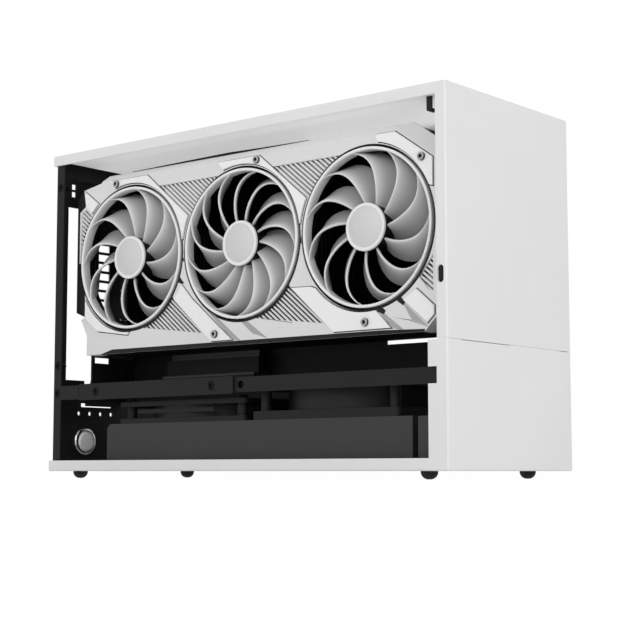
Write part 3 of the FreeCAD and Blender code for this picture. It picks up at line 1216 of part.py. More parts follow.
def card_bracket():
    """Steel slot bracket with vents, socket openings and the turned top tab."""
    side = SLOT_PLATE_SIDE + BRACKET_VENT_SIDE - BRACKET_THICKNESS
    plate = slab(BRACKET_FRONT, SLOT_PLATE_RUN, side, side + BRACKET_WIDTH, CARD_BASE, SLOT_PLATE_TOP)
    tab = slab(BRACKET_FRONT, SLOT_PLATE_RUN + BRACKET_TAB, side, side + BRACKET_WIDTH,
               SLOT_PLATE_TOP, SLOT_PLATE_TOP + BRACKET_THICKNESS)
    cuts = [port_block(height, FIT_GAP, 0, CASE_LENGTH) for height in port_places()]
    vent_side = side + BRACKET_VENT_SIDE
    for step in range(BRACKET_VENT_COUNT):
        rise = CARD_BASE + BRACKET_VENT_RISE + step * BRACKET_VENT_PITCH
        cuts.append(slab(BRACKET_FRONT - OVERCUT, SLOT_PLATE_RUN + OVERCUT, vent_side,
                         vent_side + BRACKET_VENT_WIDTH, rise, rise + BRACKET_VENT_HEIGHT))
    return plate.fuse(tab).cut(cuts)


def display_ports():
    """Display sockets on the circuit board, open to the rear."""
    ports = []
    for height in port_places():
        block = port_block(height, 0, SLOT_PLATE_RUN - PORT_LENGTH, SLOT_PLATE_RUN)
        mouth = port_block(height, -PORT_WALL, SLOT_PLATE_RUN - PORT_LENGTH / 2, CASE_LENGTH)
        roof = slab(0, CASE_LENGTH, CARD_BOARD_DEPTH - PORT_WALL, CARD_BOARD_DEPTH, 0, CASE_HEIGHT)
        ports.append(block.cut(mouth.cut(roof)))
    return group(ports)


def fan_motors():
    """Motor bases on the heatsink, each with its shaft."""
    motors = []
    base = ROTOR_FRONT + ROTOR_HUB_DEPTH + MOTOR_GAP
    for run in CARD_FAN_RUNS:
        body = side_rod(run, CARD_FAN_HEIGHT, ROTOR_HUB, base, HEATSINK_FRONT)
        shaft = side_rod(run, CARD_FAN_HEIGHT, SHAFT_DIAMETER, ROTOR_FRONT + SHAFT_END + FIT_GAP, base)
        motors.append(body.fuse(shaft))
    return group(motors)


def card_rotor(index):
    """Card fan rotor: hub, swept blades and the ring that joins their tips, moulded in one."""
    ring = Part.makeCylinder(ROTOR_RING / 2, ROTOR_RING_DEPTH, V(0, 0, -ROTOR_RING_DEPTH))
    inner = ROTOR_RING / 2 - ROTOR_RING_WALL
    bore = Part.makeCylinder(inner, ROTOR_RING_DEPTH + 2 * OVERCUT, V(0, 0, -ROTOR_RING_DEPTH - OVERCUT))
    ring = ring.cut(bore)
    hub = Part.makeCylinder(ROTOR_HUB / 2, ROTOR_HUB_DEPTH, V(0, 0, -ROTOR_HUB_DEPTH))
    hub = rounded(hub, lambda middle: near(middle.z, 0), ROTOR_HUB_ROUND)
    hub = hub.cut(Part.makeCylinder(ROTOR_CAP / 2, ROTOR_CAP_RECESS, V(0, 0, -ROTOR_CAP_RECESS)))
    back = -ROTOR_BLADE_INSET - ROTOR_BLADE_DEPTH + BLADE_THICKNESS
    blades = blade_ring(ROTOR_BLADE_COUNTS[index], ROTOR_HUB / 2 - BLADE_BITE, inner + BLADE_BITE,
                        ROTOR_BLADE_SWEEP, ROTOR_BLADE_FLARE, ROTOR_CHORD_HUB, ROTOR_CHORD_TIP,
                        -ROTOR_BLADE_INSET, back, ROTOR_HANDS[index])
    bore = Part.makeCylinder(SHAFT_DIAMETER / 2 + SHAFT_GAP, ROTOR_HUB_DEPTH,
                             V(0, 0, -ROTOR_HUB_DEPTH - SHAFT_END))
    rotor = hub.fuse([ring] + blades).cut(bore)
    rotor = rotor.rotated(V(0, 0, 0), V(1, 0, 0), 90)
    return rotor.translated(point(CARD_FAN_RUNS[index], ROTOR_FRONT, CARD_FAN_HEIGHT))


def all_nodes():
    nodes = {
        "upper_shell": upper_shell(),
        "lower_shell": lower_shell(),
        "top_liner": top_liner(),
        "panel_catches": panel_catches(),
        "rear_frame": rear_frame(),
        "left_rail_rear": rail_rear(),
        "left_rail_front": rail_front(),
        "right_rail_rear": mirrored(rail_rear()),
        "right_rail_front": mirrored(rail_front()),
        "cross_brace": cross_brace(),
        "motherboard_tray": motherboard_tray(),
        "board_standoffs": board_standoffs(),
        "psu_bracket": psu_bracket(),
        "slot_plate": slot_plate(),
        "riser_bracket": riser_bracket(),
        "riser_board": riser_board(),
        "riser_slot": riser_slot(),
        "power_switch_body": power_switch_body(),
        "power_switch_nut": power_switch_nut(),
        "power_button": power_button(),
        "power_inlet": power_inlet(),
        "inlet_pins": inlet_pins(),
        "case_feet": case_feet(),
        "case_screws": case_screws(),
        "radiator_body": radiator_body(),
        "radiator_core": radiator_core(),
        "radiator_gasket": radiator_gasket(),
        "radiator_plugs": radiator_plugs(),
        "radiator_screws": radiator_screws(),
        "slim_fan_frame": fan_frame(FAN_REAR_RUN, SLIM_FAN, SLIM_FLANGE),
        "slim_fan_rotor": fan_rotor(FAN_REAR_RUN, SLIM_FAN),
        "full_fan_frame": fan_frame(FAN_FRONT_RUN, FULL_FAN, FULL_FLANGE),
        "full_fan_rotor": fan_rotor(FAN_FRONT_RUN, FULL_FAN),
        "fan_screws": fan_screws(),
        "card_shroud": card_shroud(),
        "shroud_screws": shroud_screws(),
        "card_frame": card_frame(),
        "card_heatsink": card_heatsink(),
        "card_board": card_board(),
        "card_backplate": card_backplate(),
        "card_bracket": card_bracket(),
        "display_ports": display_ports(),
        "card_fan_motors": fan_motors(),
        "card_rotor_rear": card_rotor(0),
        "card_rotor_middle": card_rotor(1),
        "card_rotor_front": card_rotor(2),
    }
    for name, outline in trim_outlines().items():
        nodes[name] = trim_plate(outline)
    for name, outline in louvre_outlines().items():
        nodes[name] = louvre_insert(outline)
    return nodes


os.makedirs("parts", exist_ok=True)
for name, shape in all_nodes().items():
    shape.exportStep("parts/" + name + ".step")
    print(name, len(shape.Solids), "solid(s)", round(shape.Volume / 1000, 2), "cm3", shape.isValid())
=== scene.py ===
# %% [markdown]
# # A small white computer case
#
# The object is a compact case for a small computer. A white folded sheet wraps the top, the
# front and the base, and a black frame inside carries a long graphics card with three fans.
# Below the card lies a radiator with two fans of its own. The side panels are off, so the card
# and the radiator are seen from the open left side.
#
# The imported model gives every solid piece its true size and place. This script adds what a
# machinist's drawing leaves out: broken corners, moulded blades, screw recesses, thin fins,
# and the finish of each surface. The model frame is in metres, with +X to the front, -Y to the
# open side and +Z up.

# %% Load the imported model
import bmesh
import bpy
import json
import math
from mathutils import Matrix, Vector


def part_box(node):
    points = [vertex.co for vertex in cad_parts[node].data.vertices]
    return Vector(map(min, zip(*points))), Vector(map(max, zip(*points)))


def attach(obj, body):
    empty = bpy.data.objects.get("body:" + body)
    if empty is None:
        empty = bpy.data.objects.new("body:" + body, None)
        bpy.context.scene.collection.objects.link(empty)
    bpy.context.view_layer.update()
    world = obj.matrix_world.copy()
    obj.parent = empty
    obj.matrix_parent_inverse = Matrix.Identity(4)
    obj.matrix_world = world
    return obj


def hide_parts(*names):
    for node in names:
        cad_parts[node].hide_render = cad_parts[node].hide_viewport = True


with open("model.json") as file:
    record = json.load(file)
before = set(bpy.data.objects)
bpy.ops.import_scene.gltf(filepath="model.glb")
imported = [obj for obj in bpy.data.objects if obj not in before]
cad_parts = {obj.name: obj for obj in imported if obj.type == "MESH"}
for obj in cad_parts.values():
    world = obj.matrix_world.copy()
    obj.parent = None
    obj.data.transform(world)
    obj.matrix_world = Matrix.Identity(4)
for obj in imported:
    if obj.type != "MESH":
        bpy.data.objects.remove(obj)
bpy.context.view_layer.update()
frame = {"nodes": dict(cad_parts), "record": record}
nodes = frame["nodes"]
MM = 0.001

# %% [markdown]
# ## Sums on sockets
#
# A finish is a small sum: a base roughness plus a little noise, a distance from a centre, a
# stripe every so many millimetres. Wiring Math nodes by hand hides the sum, so `Wire` wraps
# one output of a node and turns Python's operators into Math nodes. The reflected forms are
# there too, so that `1 - mask` reads as it should. `Bench.add` makes every other node: the
# settings come first, because some of them change the sockets, and then the socket values.
# A bench serves any node tree, so the finishes, the sky and the graphs below all use it.


# %% Wires and benches
class Wire:
    """One output of a node. Sums on it add Math nodes to the same tree."""

    def __init__(self, bench, socket):
        self.bench = bench
        self.socket = socket

    def math(self, operation, *values):
        node = self.bench.add("ShaderNodeMath", {"operation": operation}, dict(enumerate(values)))
        return self.bench.wire(node)

    def __add__(self, other):
        return self.math("ADD", self, other)

    __radd__ = __add__

    def __sub__(self, other):
        return self.math("SUBTRACT", self, other)

    def __rsub__(self, other):
        return self.math("SUBTRACT", other, self)

    def __mul__(self, other):
        return self.math("MULTIPLY", self, other)

    __rmul__ = __mul__

    def __truediv__(self, other):
        return self.math("DIVIDE", self, other)

    def __pow__(self, other):
        return self.math("POWER", self, other)


class Bench:
    """A node tree under construction."""

    def __init__(self, tree):
        self.tree = tree

    def add(self, kind, settings=None, sockets=None):
        """Any node: its settings are set first, then the values or links of its sockets."""
        node = self.tree.nodes.new(kind)
        for name, value in (settings or {}).items():
            if name == "stops":
                for element, (position, colour) in zip(node.color_ramp.elements, value):
                    element.position = position
                    element.color = (*colour, 1.0)
            else:
                setattr(node, name, value)
        self.feed(node, sockets or {})
        return node

    def feed(self, node, sockets):
        for key, value in sockets.items():
            if isinstance(value, Wire):
                self.tree.links.new(value.socket, node.inputs[key])
            else:
                node.inputs[key].default_value = value

    def wire(self, node, output=0):
        return Wire(self, node.outputs[output])


class Finish(Bench):
    """A material under construction, with its main shader ready to be fed."""

    def __init__(self, name):
        self.material = bpy.data.materials.new(name)
        self.material.use_nodes = True
        super().__init__(self.material.node_tree)
        self.shader = self.tree.nodes["Principled BSDF"]

    def place(self, stretch=(1.0, 1.0, 1.0)):
        """Object coordinates in metres, stretched so that a grain can run one way."""
        coordinates = self.add("ShaderNodeTexCoord")
        mapping = self.add("ShaderNodeMapping", None,
                           {"Vector": self.wire(coordinates, "Object"), "Scale": stretch})
        return self.wire(mapping)

    def axes(self, place):
        """The three coordinates of a place, each on a wire of its own."""
        node = self.add("ShaderNodeSeparateXYZ", None, {"Vector": place})
        return [self.wire(node, axis) for axis in "XYZ"]

    def noise(self, place, scale, detail=2.0):
        node = self.add("ShaderNodeTexNoise", None, {"Vector": place, "Scale": scale, "Detail": detail})
        return self.wire(node)

    def shades(self, factor, pair):
        """A colour that drifts between a dark and a light shade."""
        stops = zip((0.25, 0.75), pair)
        return self.wire(self.add("ShaderNodeValToRGB", {"stops": stops}, {"Fac": factor}))

    def bump(self, height, distance, strength=1.0):
        node = self.add("ShaderNodeBump", None,
                        {"Height": height, "Distance": distance, "Strength": strength})
        return self.wire(node)

    def paint(self, sockets):
        """Feed the main shader and hand over the material."""
        self.feed(self.shader, sockets)
        return self.material


print("shader sums ready")

# %% [markdown]
# ## Finishes
#
# The case has few colours, so its surfaces are told apart by how they scatter light.
#
# * Powder coat, white or black, is a plastic film baked onto sheet metal. It flows into a fine
#   orange peel, so it gets a shallow bump about a millimetre across and a high roughness.
# * Moulded plastic copies the spark-eroded grain of its mould. The grain is finer and the
#   sheen a little stronger.
# * Turned and brushed metal keeps the tool's lines, so its noise is stretched along one axis.
# * Rubber has almost no sheen.
#
# One function serves them all. Fine noise moves the roughness and the bump, and broad noise
# lets the colour drift slightly, as no large painted surface is quite even.


# %% Film, mouldings and metal
PATCHES = 11.0


def surface(name, shades, rough, grain, metallic=0.0, gloss=0.5, stretch=(1.0, 1.0, 1.0)):
    """A finish whose grain drives roughness and bump, and whose colour drifts between two shades.

    The pairs are the dark and the light shade, the roughness and its spread, and the fineness of
    the grain and its height in metres.
    """
    roughness, spread = rough
    fineness, height = grain
    finish = Finish(name)
    place = finish.place(stretch)
    fine = finish.noise(place, fineness)
    return finish.paint({
        "Base Color": finish.shades(finish.noise(place, PATCHES, 4.0), shades),
        "Roughness": roughness + (fine - 0.5) * spread,
        "Metallic": metallic,
        "Specular IOR Level": gloss,
        "Normal": finish.bump(fine, height),
    })


def greys(dark, light):
    return (dark, dark, dark), (light, light, light)


BRASS = ((0.62, 0.44, 0.17), (0.72, 0.53, 0.24))
STEEL = ((0.42, 0.42, 0.42), (0.50, 0.50, 0.51))
finishes = {
    "white_paint": surface("white_powder_coat", greys(0.80, 0.83), (0.55, 0.12), (950.0, 9e-6), gloss=0.35),
    "black_paint": surface("black_powder_coat", greys(0.005, 0.008), (0.55, 0.16), (900.0, 1.6e-5),
                           gloss=0.22),
    "black_plastic": surface("black_moulding", greys(0.006, 0.009), (0.50, 0.14), (1600.0, 8e-6), gloss=0.2),
    "fan_black": surface("fan_blade_moulding", greys(0.006, 0.009), (0.45, 0.10), (1800.0, 5e-6), gloss=0.2),
    "rubber_black": surface("foot_rubber", greys(0.012, 0.018), (0.72, 0.14), (1300.0, 1.5e-5), gloss=0.3),
    "standoff_brass": surface("turned_brass", BRASS, (0.26, 0.16), (900.0, 5e-6), metallic=1.0,
                              stretch=(1.0, 12.0, 1.0)),
    "switch_metal": surface("plated_switch", greys(0.62, 0.70), (0.24, 0.10), (1400.0, 3e-6), metallic=1.0),
    "plated_metal": surface("plated_contacts", greys(0.60, 0.70), (0.28, 0.14), (1100.0, 4e-6), metallic=1.0),
    "bracket_steel": surface("satin_steel", STEEL, (0.34, 0.18), (700.0, 6e-6), metallic=1.0,
                             stretch=(1.0, 14.0, 1.0)),
    "black_screw": surface("black_oxide", greys(0.002, 0.004), (0.42, 0.12), (1500.0, 5e-6), gloss=0.1),
    "radiator_paint": surface("radiator_satin_black", greys(0.026, 0.033), (0.50, 0.16), (800.0, 1.2e-5),
                              gloss=0.33),
    "shroud_white": surface("white_moulding", greys(0.74, 0.78), (0.50, 0.12), (1700.0, 6e-6), gloss=0.4),
    "trim_silver": surface("pale_metallic_paint", greys(0.89, 0.93), (0.40, 0.14), (1500.0, 4e-6), gloss=0.5),
}
print(len(finishes), "plain finishes")

# %% [markdown]
# Five surfaces follow a rule instead of a grain. The first two are seen as patterns.
#
# * The black coated fins show as lines of light and shade, so stripes a fin's pitch apart
#   darken the metal as painted shade between the fins.
# * A circuit board carries tracks under its solder mask. They run along the board in steps,
#   which a brick pattern with thin joints imitates well at this size.


# %% Fins and boards
def ruled(name, fineness):
    """A new finish, its coordinates along, inward and up, and a fine grain, ready for a rule."""
    finish = Finish(name)
    place = finish.place()
    return finish, finish.axes(place), finish.noise(place, fineness)


def striped_fins(pitch):
    finish, (along, _, _), grain = ruled("coated_fins", 500.0)
    phase = along * (2 * math.pi / pitch)
    # The dark half of each wave is painted shade between the fins.
    wave = phase.math("SINE", phase)
    return finish.paint({
        "Base Color": finish.shades(0.5 + wave * 0.35 + grain * 0.2, greys(0.001, 0.004)),
        "Roughness": 0.45 + grain * 0.2,
        "Metallic": 0.2,
        "Specular IOR Level": 0.1,
        "Normal": finish.bump(wave, 2e-5, 0.4),
    })


def solder_mask():
    finish, (along, _, up), grain = ruled("black_solder_mask", 900.0)
    flat = finish.add("ShaderNodeCombineXYZ", None, {"X": along, "Y": up})
    tracks = finish.add("ShaderNodeTexBrick", None, {
        "Vector": finish.wire(flat), "Scale": 60.0, "Mortar Size": 0.03, "Mortar Smooth": 0.2,
        "Brick Width": 1.7, "Row Height": 0.16,
        "Color1": (0.008, 0.010, 0.009, 1.0), "Color2": (0.012, 0.014, 0.013, 1.0),
        "Mortar": (0.030, 0.034, 0.032, 1.0),
    })
    return finish.paint({
        "Base Color": finish.wire(tracks, "Color"),
        "Roughness": 0.36 + grain * 0.16,
        "Normal": finish.bump(finish.wire(tracks, "Fac"), 2e-5, 0.5),
    })


FIN_PITCH = 1.6 * MM
finishes["fin_metal"] = striped_fins(FIN_PITCH)
finishes["circuit_board"] = solder_mask()
print("fins striped every", round(FIN_PITCH / MM, 1), "mm")

# %% [markdown]
# The other three follow the turning of the cap and the depth of the blades and screws.
#
# * The cap on each card fan was turned, so its fine grooves are circles. The distance from the
#   shaft is a sum on two coordinates, and a sine of it gives the grooves.
# * The blades of the card fans are a grey moulding. A painted highlight lies on the noses at the
#   front and painted shade on the deep tails, so the colour follows the depth behind the face.
# * The cover's screws are black, with a painted highlight on the face round the socket.


# %% Caps, blades and ground screws
def turned_cap(name, centre):
    finish, (along, _, up), grain = ruled(name, 700.0)
    across = along - centre.x
    above = up - centre.z
    radius = (across * across + above * above) ** 0.5
    groove = radius.math("SINE", radius * 9000.0)
    return finish.paint({
        "Base Color": finish.shades(0.5 + groove * 0.2 + (grain - 0.5) * 0.6, greys(0.62, 0.71)),
        "Roughness": 0.50 + grain * 0.12,
        "Metallic": 0.12,
        "Normal": finish.bump(groove, 3e-6, 0.4),
    })


def blades_with_painted_light(face, depth):
    """Grey with painted light: a painted highlight at the face in front, fading to painted shade at a depth
    behind it.
    """
    finish, (_, inward, _), grain = ruled("sprayed_rotor", 1800.0)
    behind = (inward - face) * (1.0 / depth)
    # cover is the painted light: bright at the noses, dark on the deep tails.
    cover = 0.8 - behind ** 0.5 * 0.55 + (grain - 0.5) * 0.05
    return finish.paint({
        "Base Color": finish.shades(cover, greys(0.30, 0.88)),
        "Roughness": 0.40 + (grain - 0.5) * 0.1,
        "Specular IOR Level": 0.45,
        "Normal": finish.bump(grain, 4e-6),
    })


def screw_with_painted_highlight(face, depth):
    """Black oxide with a painted highlight on its face, to a depth below the face."""
    finish, (_, inward, _), grain = ruled("ground_black_screw", 1500.0)
    # ground marks the face that takes the painted highlight; socket and sides stay black.
    ground = inward.math("LESS_THAN", inward, face + depth)
    return finish.paint({
        "Base Color": finish.shades(ground * 0.9 + grain * 0.1, greys(0.003, 0.42)),
        "Roughness": 0.38 + grain * 0.1,
        "Normal": finish.bump(grain, 4e-6),
    })


PAINTED_LIGHT_DEPTH = 14.0 * MM
finishes["rotor_white"] = blades_with_painted_light(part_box("card_rotor_middle")[0].y, PAINTED_LIGHT_DEPTH)
print(len(finishes), "finishes after the ruled ones")

# %% [markdown]
# The record names one material slot for every node. Each CAD node takes its finish from there,
# so that no node is left in a flat colour, also where it is later replaced. The shells of the
# display sockets are plated like the inlet's pins, but in black nickel.

# %% Dress the CAD nodes
slot_of = {part["node"]: part["material_slot"] for part in frame["record"]["subparts"]}
for name, node in nodes.items():
    node.data.materials.clear()
    node.data.materials.append(finishes[slot_of[name]])
black_nickel = surface("black_nickel", greys(0.010, 0.016), (0.36, 0.14), (1100.0, 4e-6), metallic=0.5)
nodes["display_ports"].data.materials[0] = black_nickel
print("finishes given to", len(slot_of), "nodes")

# %% [markdown]
# ## Making pieces
#
# A finished piece is a mesh in the model frame on an object that stays at the origin. It rides
# on a body and takes its finish from a material slot, and where it stands for a CAD node, that
# node is hidden. Shading is smooth over the curves and sharp over the corners, split by angle.


# %% Pieces and bodies
bodies = frame["record"]["behaviour"]["bodies"]
body_of = {node: body for body, members in bodies.items() for node in members}


def smooth(mesh, degrees=32.0):
    mesh.polygons.foreach_set("use_smooth", [True] * len(mesh.polygons))
    mesh.set_sharp_from_angle(angle=math.radians(degrees))


def scene_object(name, mesh):
    thing = bpy.data.objects.new(name, mesh)
    bpy.context.scene.collection.objects.link(thing)
    return thing


def evaluated(thing):
    """The mesh that a thing's modifiers give; the thing itself goes."""
    bpy.context.view_layer.update()
    graph = bpy.context.evaluated_depsgraph_get()
    mesh = bpy.data.meshes.new_from_object(thing.evaluated_get(graph))
    bpy.data.objects.remove(thing)
    return mesh


def addition(name, mesh, slot, finish=None, body="case_body"):
    """A finished mesh that rides on a body."""
    mesh.materials.clear()
    mesh.materials.append(finish or finishes[slot])
    thing = scene_object(name, mesh)
    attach(thing, body)
    return thing


def piece(name, mesh, node, finish=None):
    """A finished mesh that stands for a CAD node and rides on its body."""
    thing = addition(name, mesh, slot_of[node], finish, body_of[node])
    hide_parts(node)
    return thing


print("body of the front card fan:", body_of["card_rotor_front"])

# %% [markdown]
# ## Broken corners
#
# No sheet, casting or moulding has a corner without a radius. A punched edge is tumbled, a
# moulded one is rounded so that it leaves the mould, and both catch a thin line of light. The
# CAD meshes come split at each corner, so a copy is first merged by distance. Flat faces are
# then joined to single polygons, and a narrow bevel breaks the corners. Hardened normals keep
# the flat faces flat.


# %% Work on a copy of a CAD node
SAME_PLACE = 1e-6
FLAT = math.radians(0.2)


def merged(node):
    """A work copy of a CAD node with its split corners merged."""
    work = bmesh.new()
    work.from_mesh(nodes[node].data)
    bmesh.ops.remove_doubles(work, verts=work.verts, dist=SAME_PLACE)
    return work


def flat_faced(node):
    """A merged work copy whose flat faces are single polygons."""
    work = merged(node)
    bmesh.ops.dissolve_limit(work, angle_limit=FLAT, verts=work.verts, edges=work.edges)
    return work


def mesh_from(work, name):
    """A new mesh from a work copy, which is then freed."""
    mesh = bpy.data.meshes.new(name)
    work.to_mesh(mesh)
    work.free()
    return mesh


print("corners within", SAME_PLACE / MM, "mm count as one")

# %% [markdown]
# The width of each corner, in millimetres, follows how the piece is made: least on the thin
# louvres, more on folded sheet and most on the mouldings and the radiator's tank.


# %% Break the corners of sheet, plate and mouldings
def broken_corners(node, width):
    clean = mesh_from(flat_faced(node), node + "_corners")
    normals = clean.attributes.get("custom_normal")
    if normals:
        clean.attributes.remove(normals)
    smooth(clean)
    thing = scene_object(node + "_work", clean)
    bevel = thing.modifiers.new("corners", "BEVEL")
    bevel.width = width
    bevel.segments = 2
    bevel.limit_method = "ANGLE"
    bevel.angle_limit = math.radians(40.0)
    bevel.harden_normals = True
    return evaluated(thing)


CORNERS = {
    "rear_frame": 0.20, "left_rail_rear": 0.25, "left_rail_front": 0.25, "right_rail_rear": 0.25,
    "right_rail_front": 0.25, "cross_brace": 0.25, "psu_bracket": 0.20, "slot_plate": 0.20,
    "motherboard_tray": 0.20, "riser_bracket": 0.20, "radiator_body": 0.40, "card_shroud": 0.40,
    "trim_upper_rear": 0.35, "trim_upper_middle": 0.35, "trim_upper_front": 0.35, "trim_lower_rear": 0.35,
    "trim_lower_front": 0.35, "trim_front_corner": 0.35, "trim_rear_corner": 0.35, "trim_rear_upper": 0.30,
    "louvre_rear_end": 0.15, "louvre_front_end": 0.15,
    "power_inlet": 0.30, "slim_fan_frame": 0.30, "full_fan_frame": 0.30, "upper_shell": 0.20,
    "lower_shell": 0.20, "top_liner": 0.20, "panel_catches": 0.20, "louvre_upper_rear": 0.15,
    "louvre_upper_front": 0.15, "louvre_lower_rear": 0.15, "louvre_lower_front": 0.15,
}
for node, width in CORNERS.items():
    piece(node + "_softened", broken_corners(node, width * MM), node)
print(len(CORNERS), "nodes with broken corners")

# %% [markdown]
# ## Turned shapes
#
# Screw heads, feet, hubs and rings are turned shapes, so they come from one function that
# spins a profile of radius and height round Z. A profile corner may carry a number of sides.
# Its ring is then a polygon of that radius to the corner, which makes a hexagon socket.


# %% Spin a profile
def turned(profile, steps=48):
    """Vertices and faces of a closed shape of revolution."""
    vertices = []
    rings = []
    for radius, height, *sides in profile:
        if radius == 0:
            rings.append([len(vertices)] * steps)
            vertices.append((0.0, 0.0, height))
            continue
        rings.append(list(range(len(vertices), len(vertices) + steps)))
        for step in range(steps):
            angle = 2 * math.pi * step / steps
            reach = radius
            if sides:
                half = math.pi / sides[0]
                reach = radius * math.cos(half) / math.cos(angle % (2 * half) - half)
            vertices.append((reach * math.cos(angle), reach * math.sin(angle), height))
    faces = []
    for low, high in zip(rings, rings[1:]):
        for step in range(steps):
            after = (step + 1) % steps
            corners = [low[step], low[after], high[after], high[step]]
            faces.append(list(dict.fromkeys(corners)))
    return vertices, faces


def arc(centre_radius, centre_height, radius, start, end, steps=4):
    """Profile corners along an arc, with angles in degrees from outward."""
    corners = []
    for step in range(steps + 1):
        angle = math.radians(start + (end - start) * step / steps)
        corners.append((centre_radius + radius * math.cos(angle), centre_height + radius * math.sin(angle)))
    return corners


def mesh_of(name, *shapes):
    """One mesh from several lists of vertices and faces, with its normals outward."""
    vertices = []
    faces = []
    for shape_vertices, shape_faces in shapes:
        first = len(vertices)
        vertices += shape_vertices
        faces += [[first + corner for corner in face] for face in shape_faces]
    mesh = bpy.data.meshes.new(name)
    mesh.from_pydata(vertices, [], faces)
    work = bmesh.new()
    work.from_mesh(mesh)
    bmesh.ops.recalc_face_normals(work, faces=work.faces)
    work.to_mesh(mesh)
    work.free()
    smooth(mesh)
    return mesh


print("profiles can be spun")

# %% [markdown]
# ## Node graphs for what repeats
#
# Screws, feet and blades repeat by a rule, so two small Geometry Nodes graphs place them. The
# first sets a copy of a piece on every vertex of a mesh of places. The second turns copies of
# its own mesh round Z. Both end in real geometry with its material set, because the result is
# turned into a plain mesh at once.


# %% Graphs that copy
class Graph(Bench):
    """A Geometry Nodes tree with a geometry input and output and further named inputs."""

    def __init__(self, name, inputs):
        super().__init__(bpy.data.node_groups.new(name, "GeometryNodeTree"))
        self.tree.is_modifier = True
        for label, kind in {"Geometry": "Geometry", **inputs}.items():
            self.tree.interface.new_socket(label, in_out="INPUT", socket_type="NodeSocket" + kind)
        self.tree.interface.new_socket("Geometry", in_out="OUTPUT", socket_type="NodeSocketGeometry")
        self.start = self.add("NodeGroupInput")

    def given(self, label):
        return self.wire(self.start, label)

    def copies(self, points, instance, turn=None):
        """A copy of a shape on every point, turned round Z if an angle is given."""
        sockets = {"Points": points, "Instance": instance}
        if turn:
            angles = self.add("ShaderNodeCombineXYZ", None, {"Z": turn})
            rotation = self.add("FunctionNodeEulerToRotation", None, {0: self.wire(angles)})
            sockets["Rotation"] = self.wire(rotation)
        return self.wire(self.add("GeometryNodeInstanceOnPoints", None, sockets))

    def close(self, instances):
        """The common end: real geometry with its material."""
        real = self.add("GeometryNodeRealizeInstances", None, {"Geometry": instances})
        painted = self.add("GeometryNodeSetMaterial", None,
                           {"Geometry": self.wire(real), "Material": self.given("Material")})
        self.add("NodeGroupOutput", None, {0: self.wire(painted)})

    def run(self, mesh, values):
        """The mesh that the graph makes of another, with its inputs set by socket identifier."""
        thing = scene_object(self.tree.name + "_work", mesh)
        items = [item for item in self.tree.interface.items_tree if item.in_out == "INPUT"]
        sockets = {item.name: item.identifier for item in items}
        modifier = thing.modifiers.new("copies", "NODES")
        modifier.node_group = self.tree
        for label, value in values.items():
            modifier[sockets[label]] = value
        return evaluated(thing)


at_places = Graph("copies_at_places", {"Piece": "Object", "Material": "Material"})
model = at_places.add("GeometryNodeObjectInfo", None, {"Object": at_places.given("Piece")})
at_places.close(at_places.copies(at_places.given("Geometry"), at_places.wire(model, "Geometry")))

round_shaft = Graph("copies_round_shaft", {"Count": "Int", "Material": "Material"})
spots = round_shaft.add("GeometryNodePoints", None, {"Count": round_shaft.given("Count")})
index = round_shaft.wire(round_shaft.add("GeometryNodeInputIndex"))
turn = index / round_shaft.given("Count") * (2 * math.pi)
round_shaft.close(round_shaft.copies(round_shaft.wire(spots), round_shaft.given("Geometry"), turn))
print("graphs:", at_places.tree.name, "and", round_shaft.tree.name)

# %% [markdown]
# ## Screws and feet
#
# Every screw has a head with a hexagon socket, so that the four kinds differ only in size and
# direction. The places come from the CAD node: each of its loose solids is one screw, and the
# middle of that solid's head end is where the copy goes.


# %% Places and copies
def solids(node):
    """Lowest and highest corner of each separate solid of a node."""
    work = merged(node)
    left = set(work.verts)
    found = []
    while left:
        island = [left.pop()]
        for vertex in island:
            linked = {edge.other_vert(vertex) for edge in vertex.link_edges} & left
            left -= linked
            island += linked
        spots = [vertex.co.copy() for vertex in island]
        found.append((Vector(map(min, *spots)), Vector(map(max, *spots))))
    work.free()
    return found


def place_mesh(places):
    mesh = bpy.data.meshes.new("places")
    mesh.from_pydata([tuple(place) for place in places], [], [])
    return mesh


def repeated(name, model, places, node, finish=None):
    """Copies of a model mesh on every place, as one piece that stands for a node."""
    finish = finish or finishes[slot_of[node]]
    master = scene_object(name + "_model", model)
    mesh = at_places.run(place_mesh(places), {"Piece": master, "Material": finish})
    bpy.data.objects.remove(master)
    smooth(mesh)
    return piece(name, mesh, node, finish)


print(len(solids("case_screws")), "case screws")

# %% [markdown]
# A screw is turned once for each set, with its head up, and then laid in the direction that the
# heads face. The case has screws on both sides, so those are made one side at a time.


# %% Screws with hexagon sockets
SOCKET_SHARE = 0.56
SOCKET_FLOOR = 0.35
SOCKET_FLARE = 1.1
SOCKET_EDGE = 0.08 * MM
HEXAGON = 6
# Head, head height, shank, length and round of each kind, in millimetres.
HEAD = {"case_screws": (5.4, 1.0, 2.8, 6.0, 0.25), "shroud_screws": (5.2, 1.8, 2.6, 3.9, 0.55),
        "fan_screws": (7.0, 2.2, 3.5, 18.0, 0.7), "radiator_screws": (7.0, 1.0, 3.5, 6.0, 0.25)}
TURN = {"-Y": Matrix.Rotation(math.pi / 2, 4, "X"), "+Y": Matrix.Rotation(-math.pi / 2, 4, "X"),
        "+Z": Matrix.Identity(4), "-Z": Matrix.Rotation(math.pi, 4, "X")}


def screw_mesh(head, top, shank, length, dome):
    """A screw along +Z with the underside of its head at zero."""
    socket = head / 2 * SOCKET_SHARE
    profile = [(0.0, -length), (shank / 2, -length), (shank / 2, 0.0), (head / 2, 0.0)]
    profile += arc(head / 2 - dome, top - dome, dome, 0, 90)
    profile += [(socket * SOCKET_FLARE, top, HEXAGON), (socket, top - SOCKET_EDGE, HEXAGON),
                (socket, top * SOCKET_FLOOR, HEXAGON), (0.0, top * SOCKET_FLOOR)]
    return mesh_of("screw", turned(profile, 36))


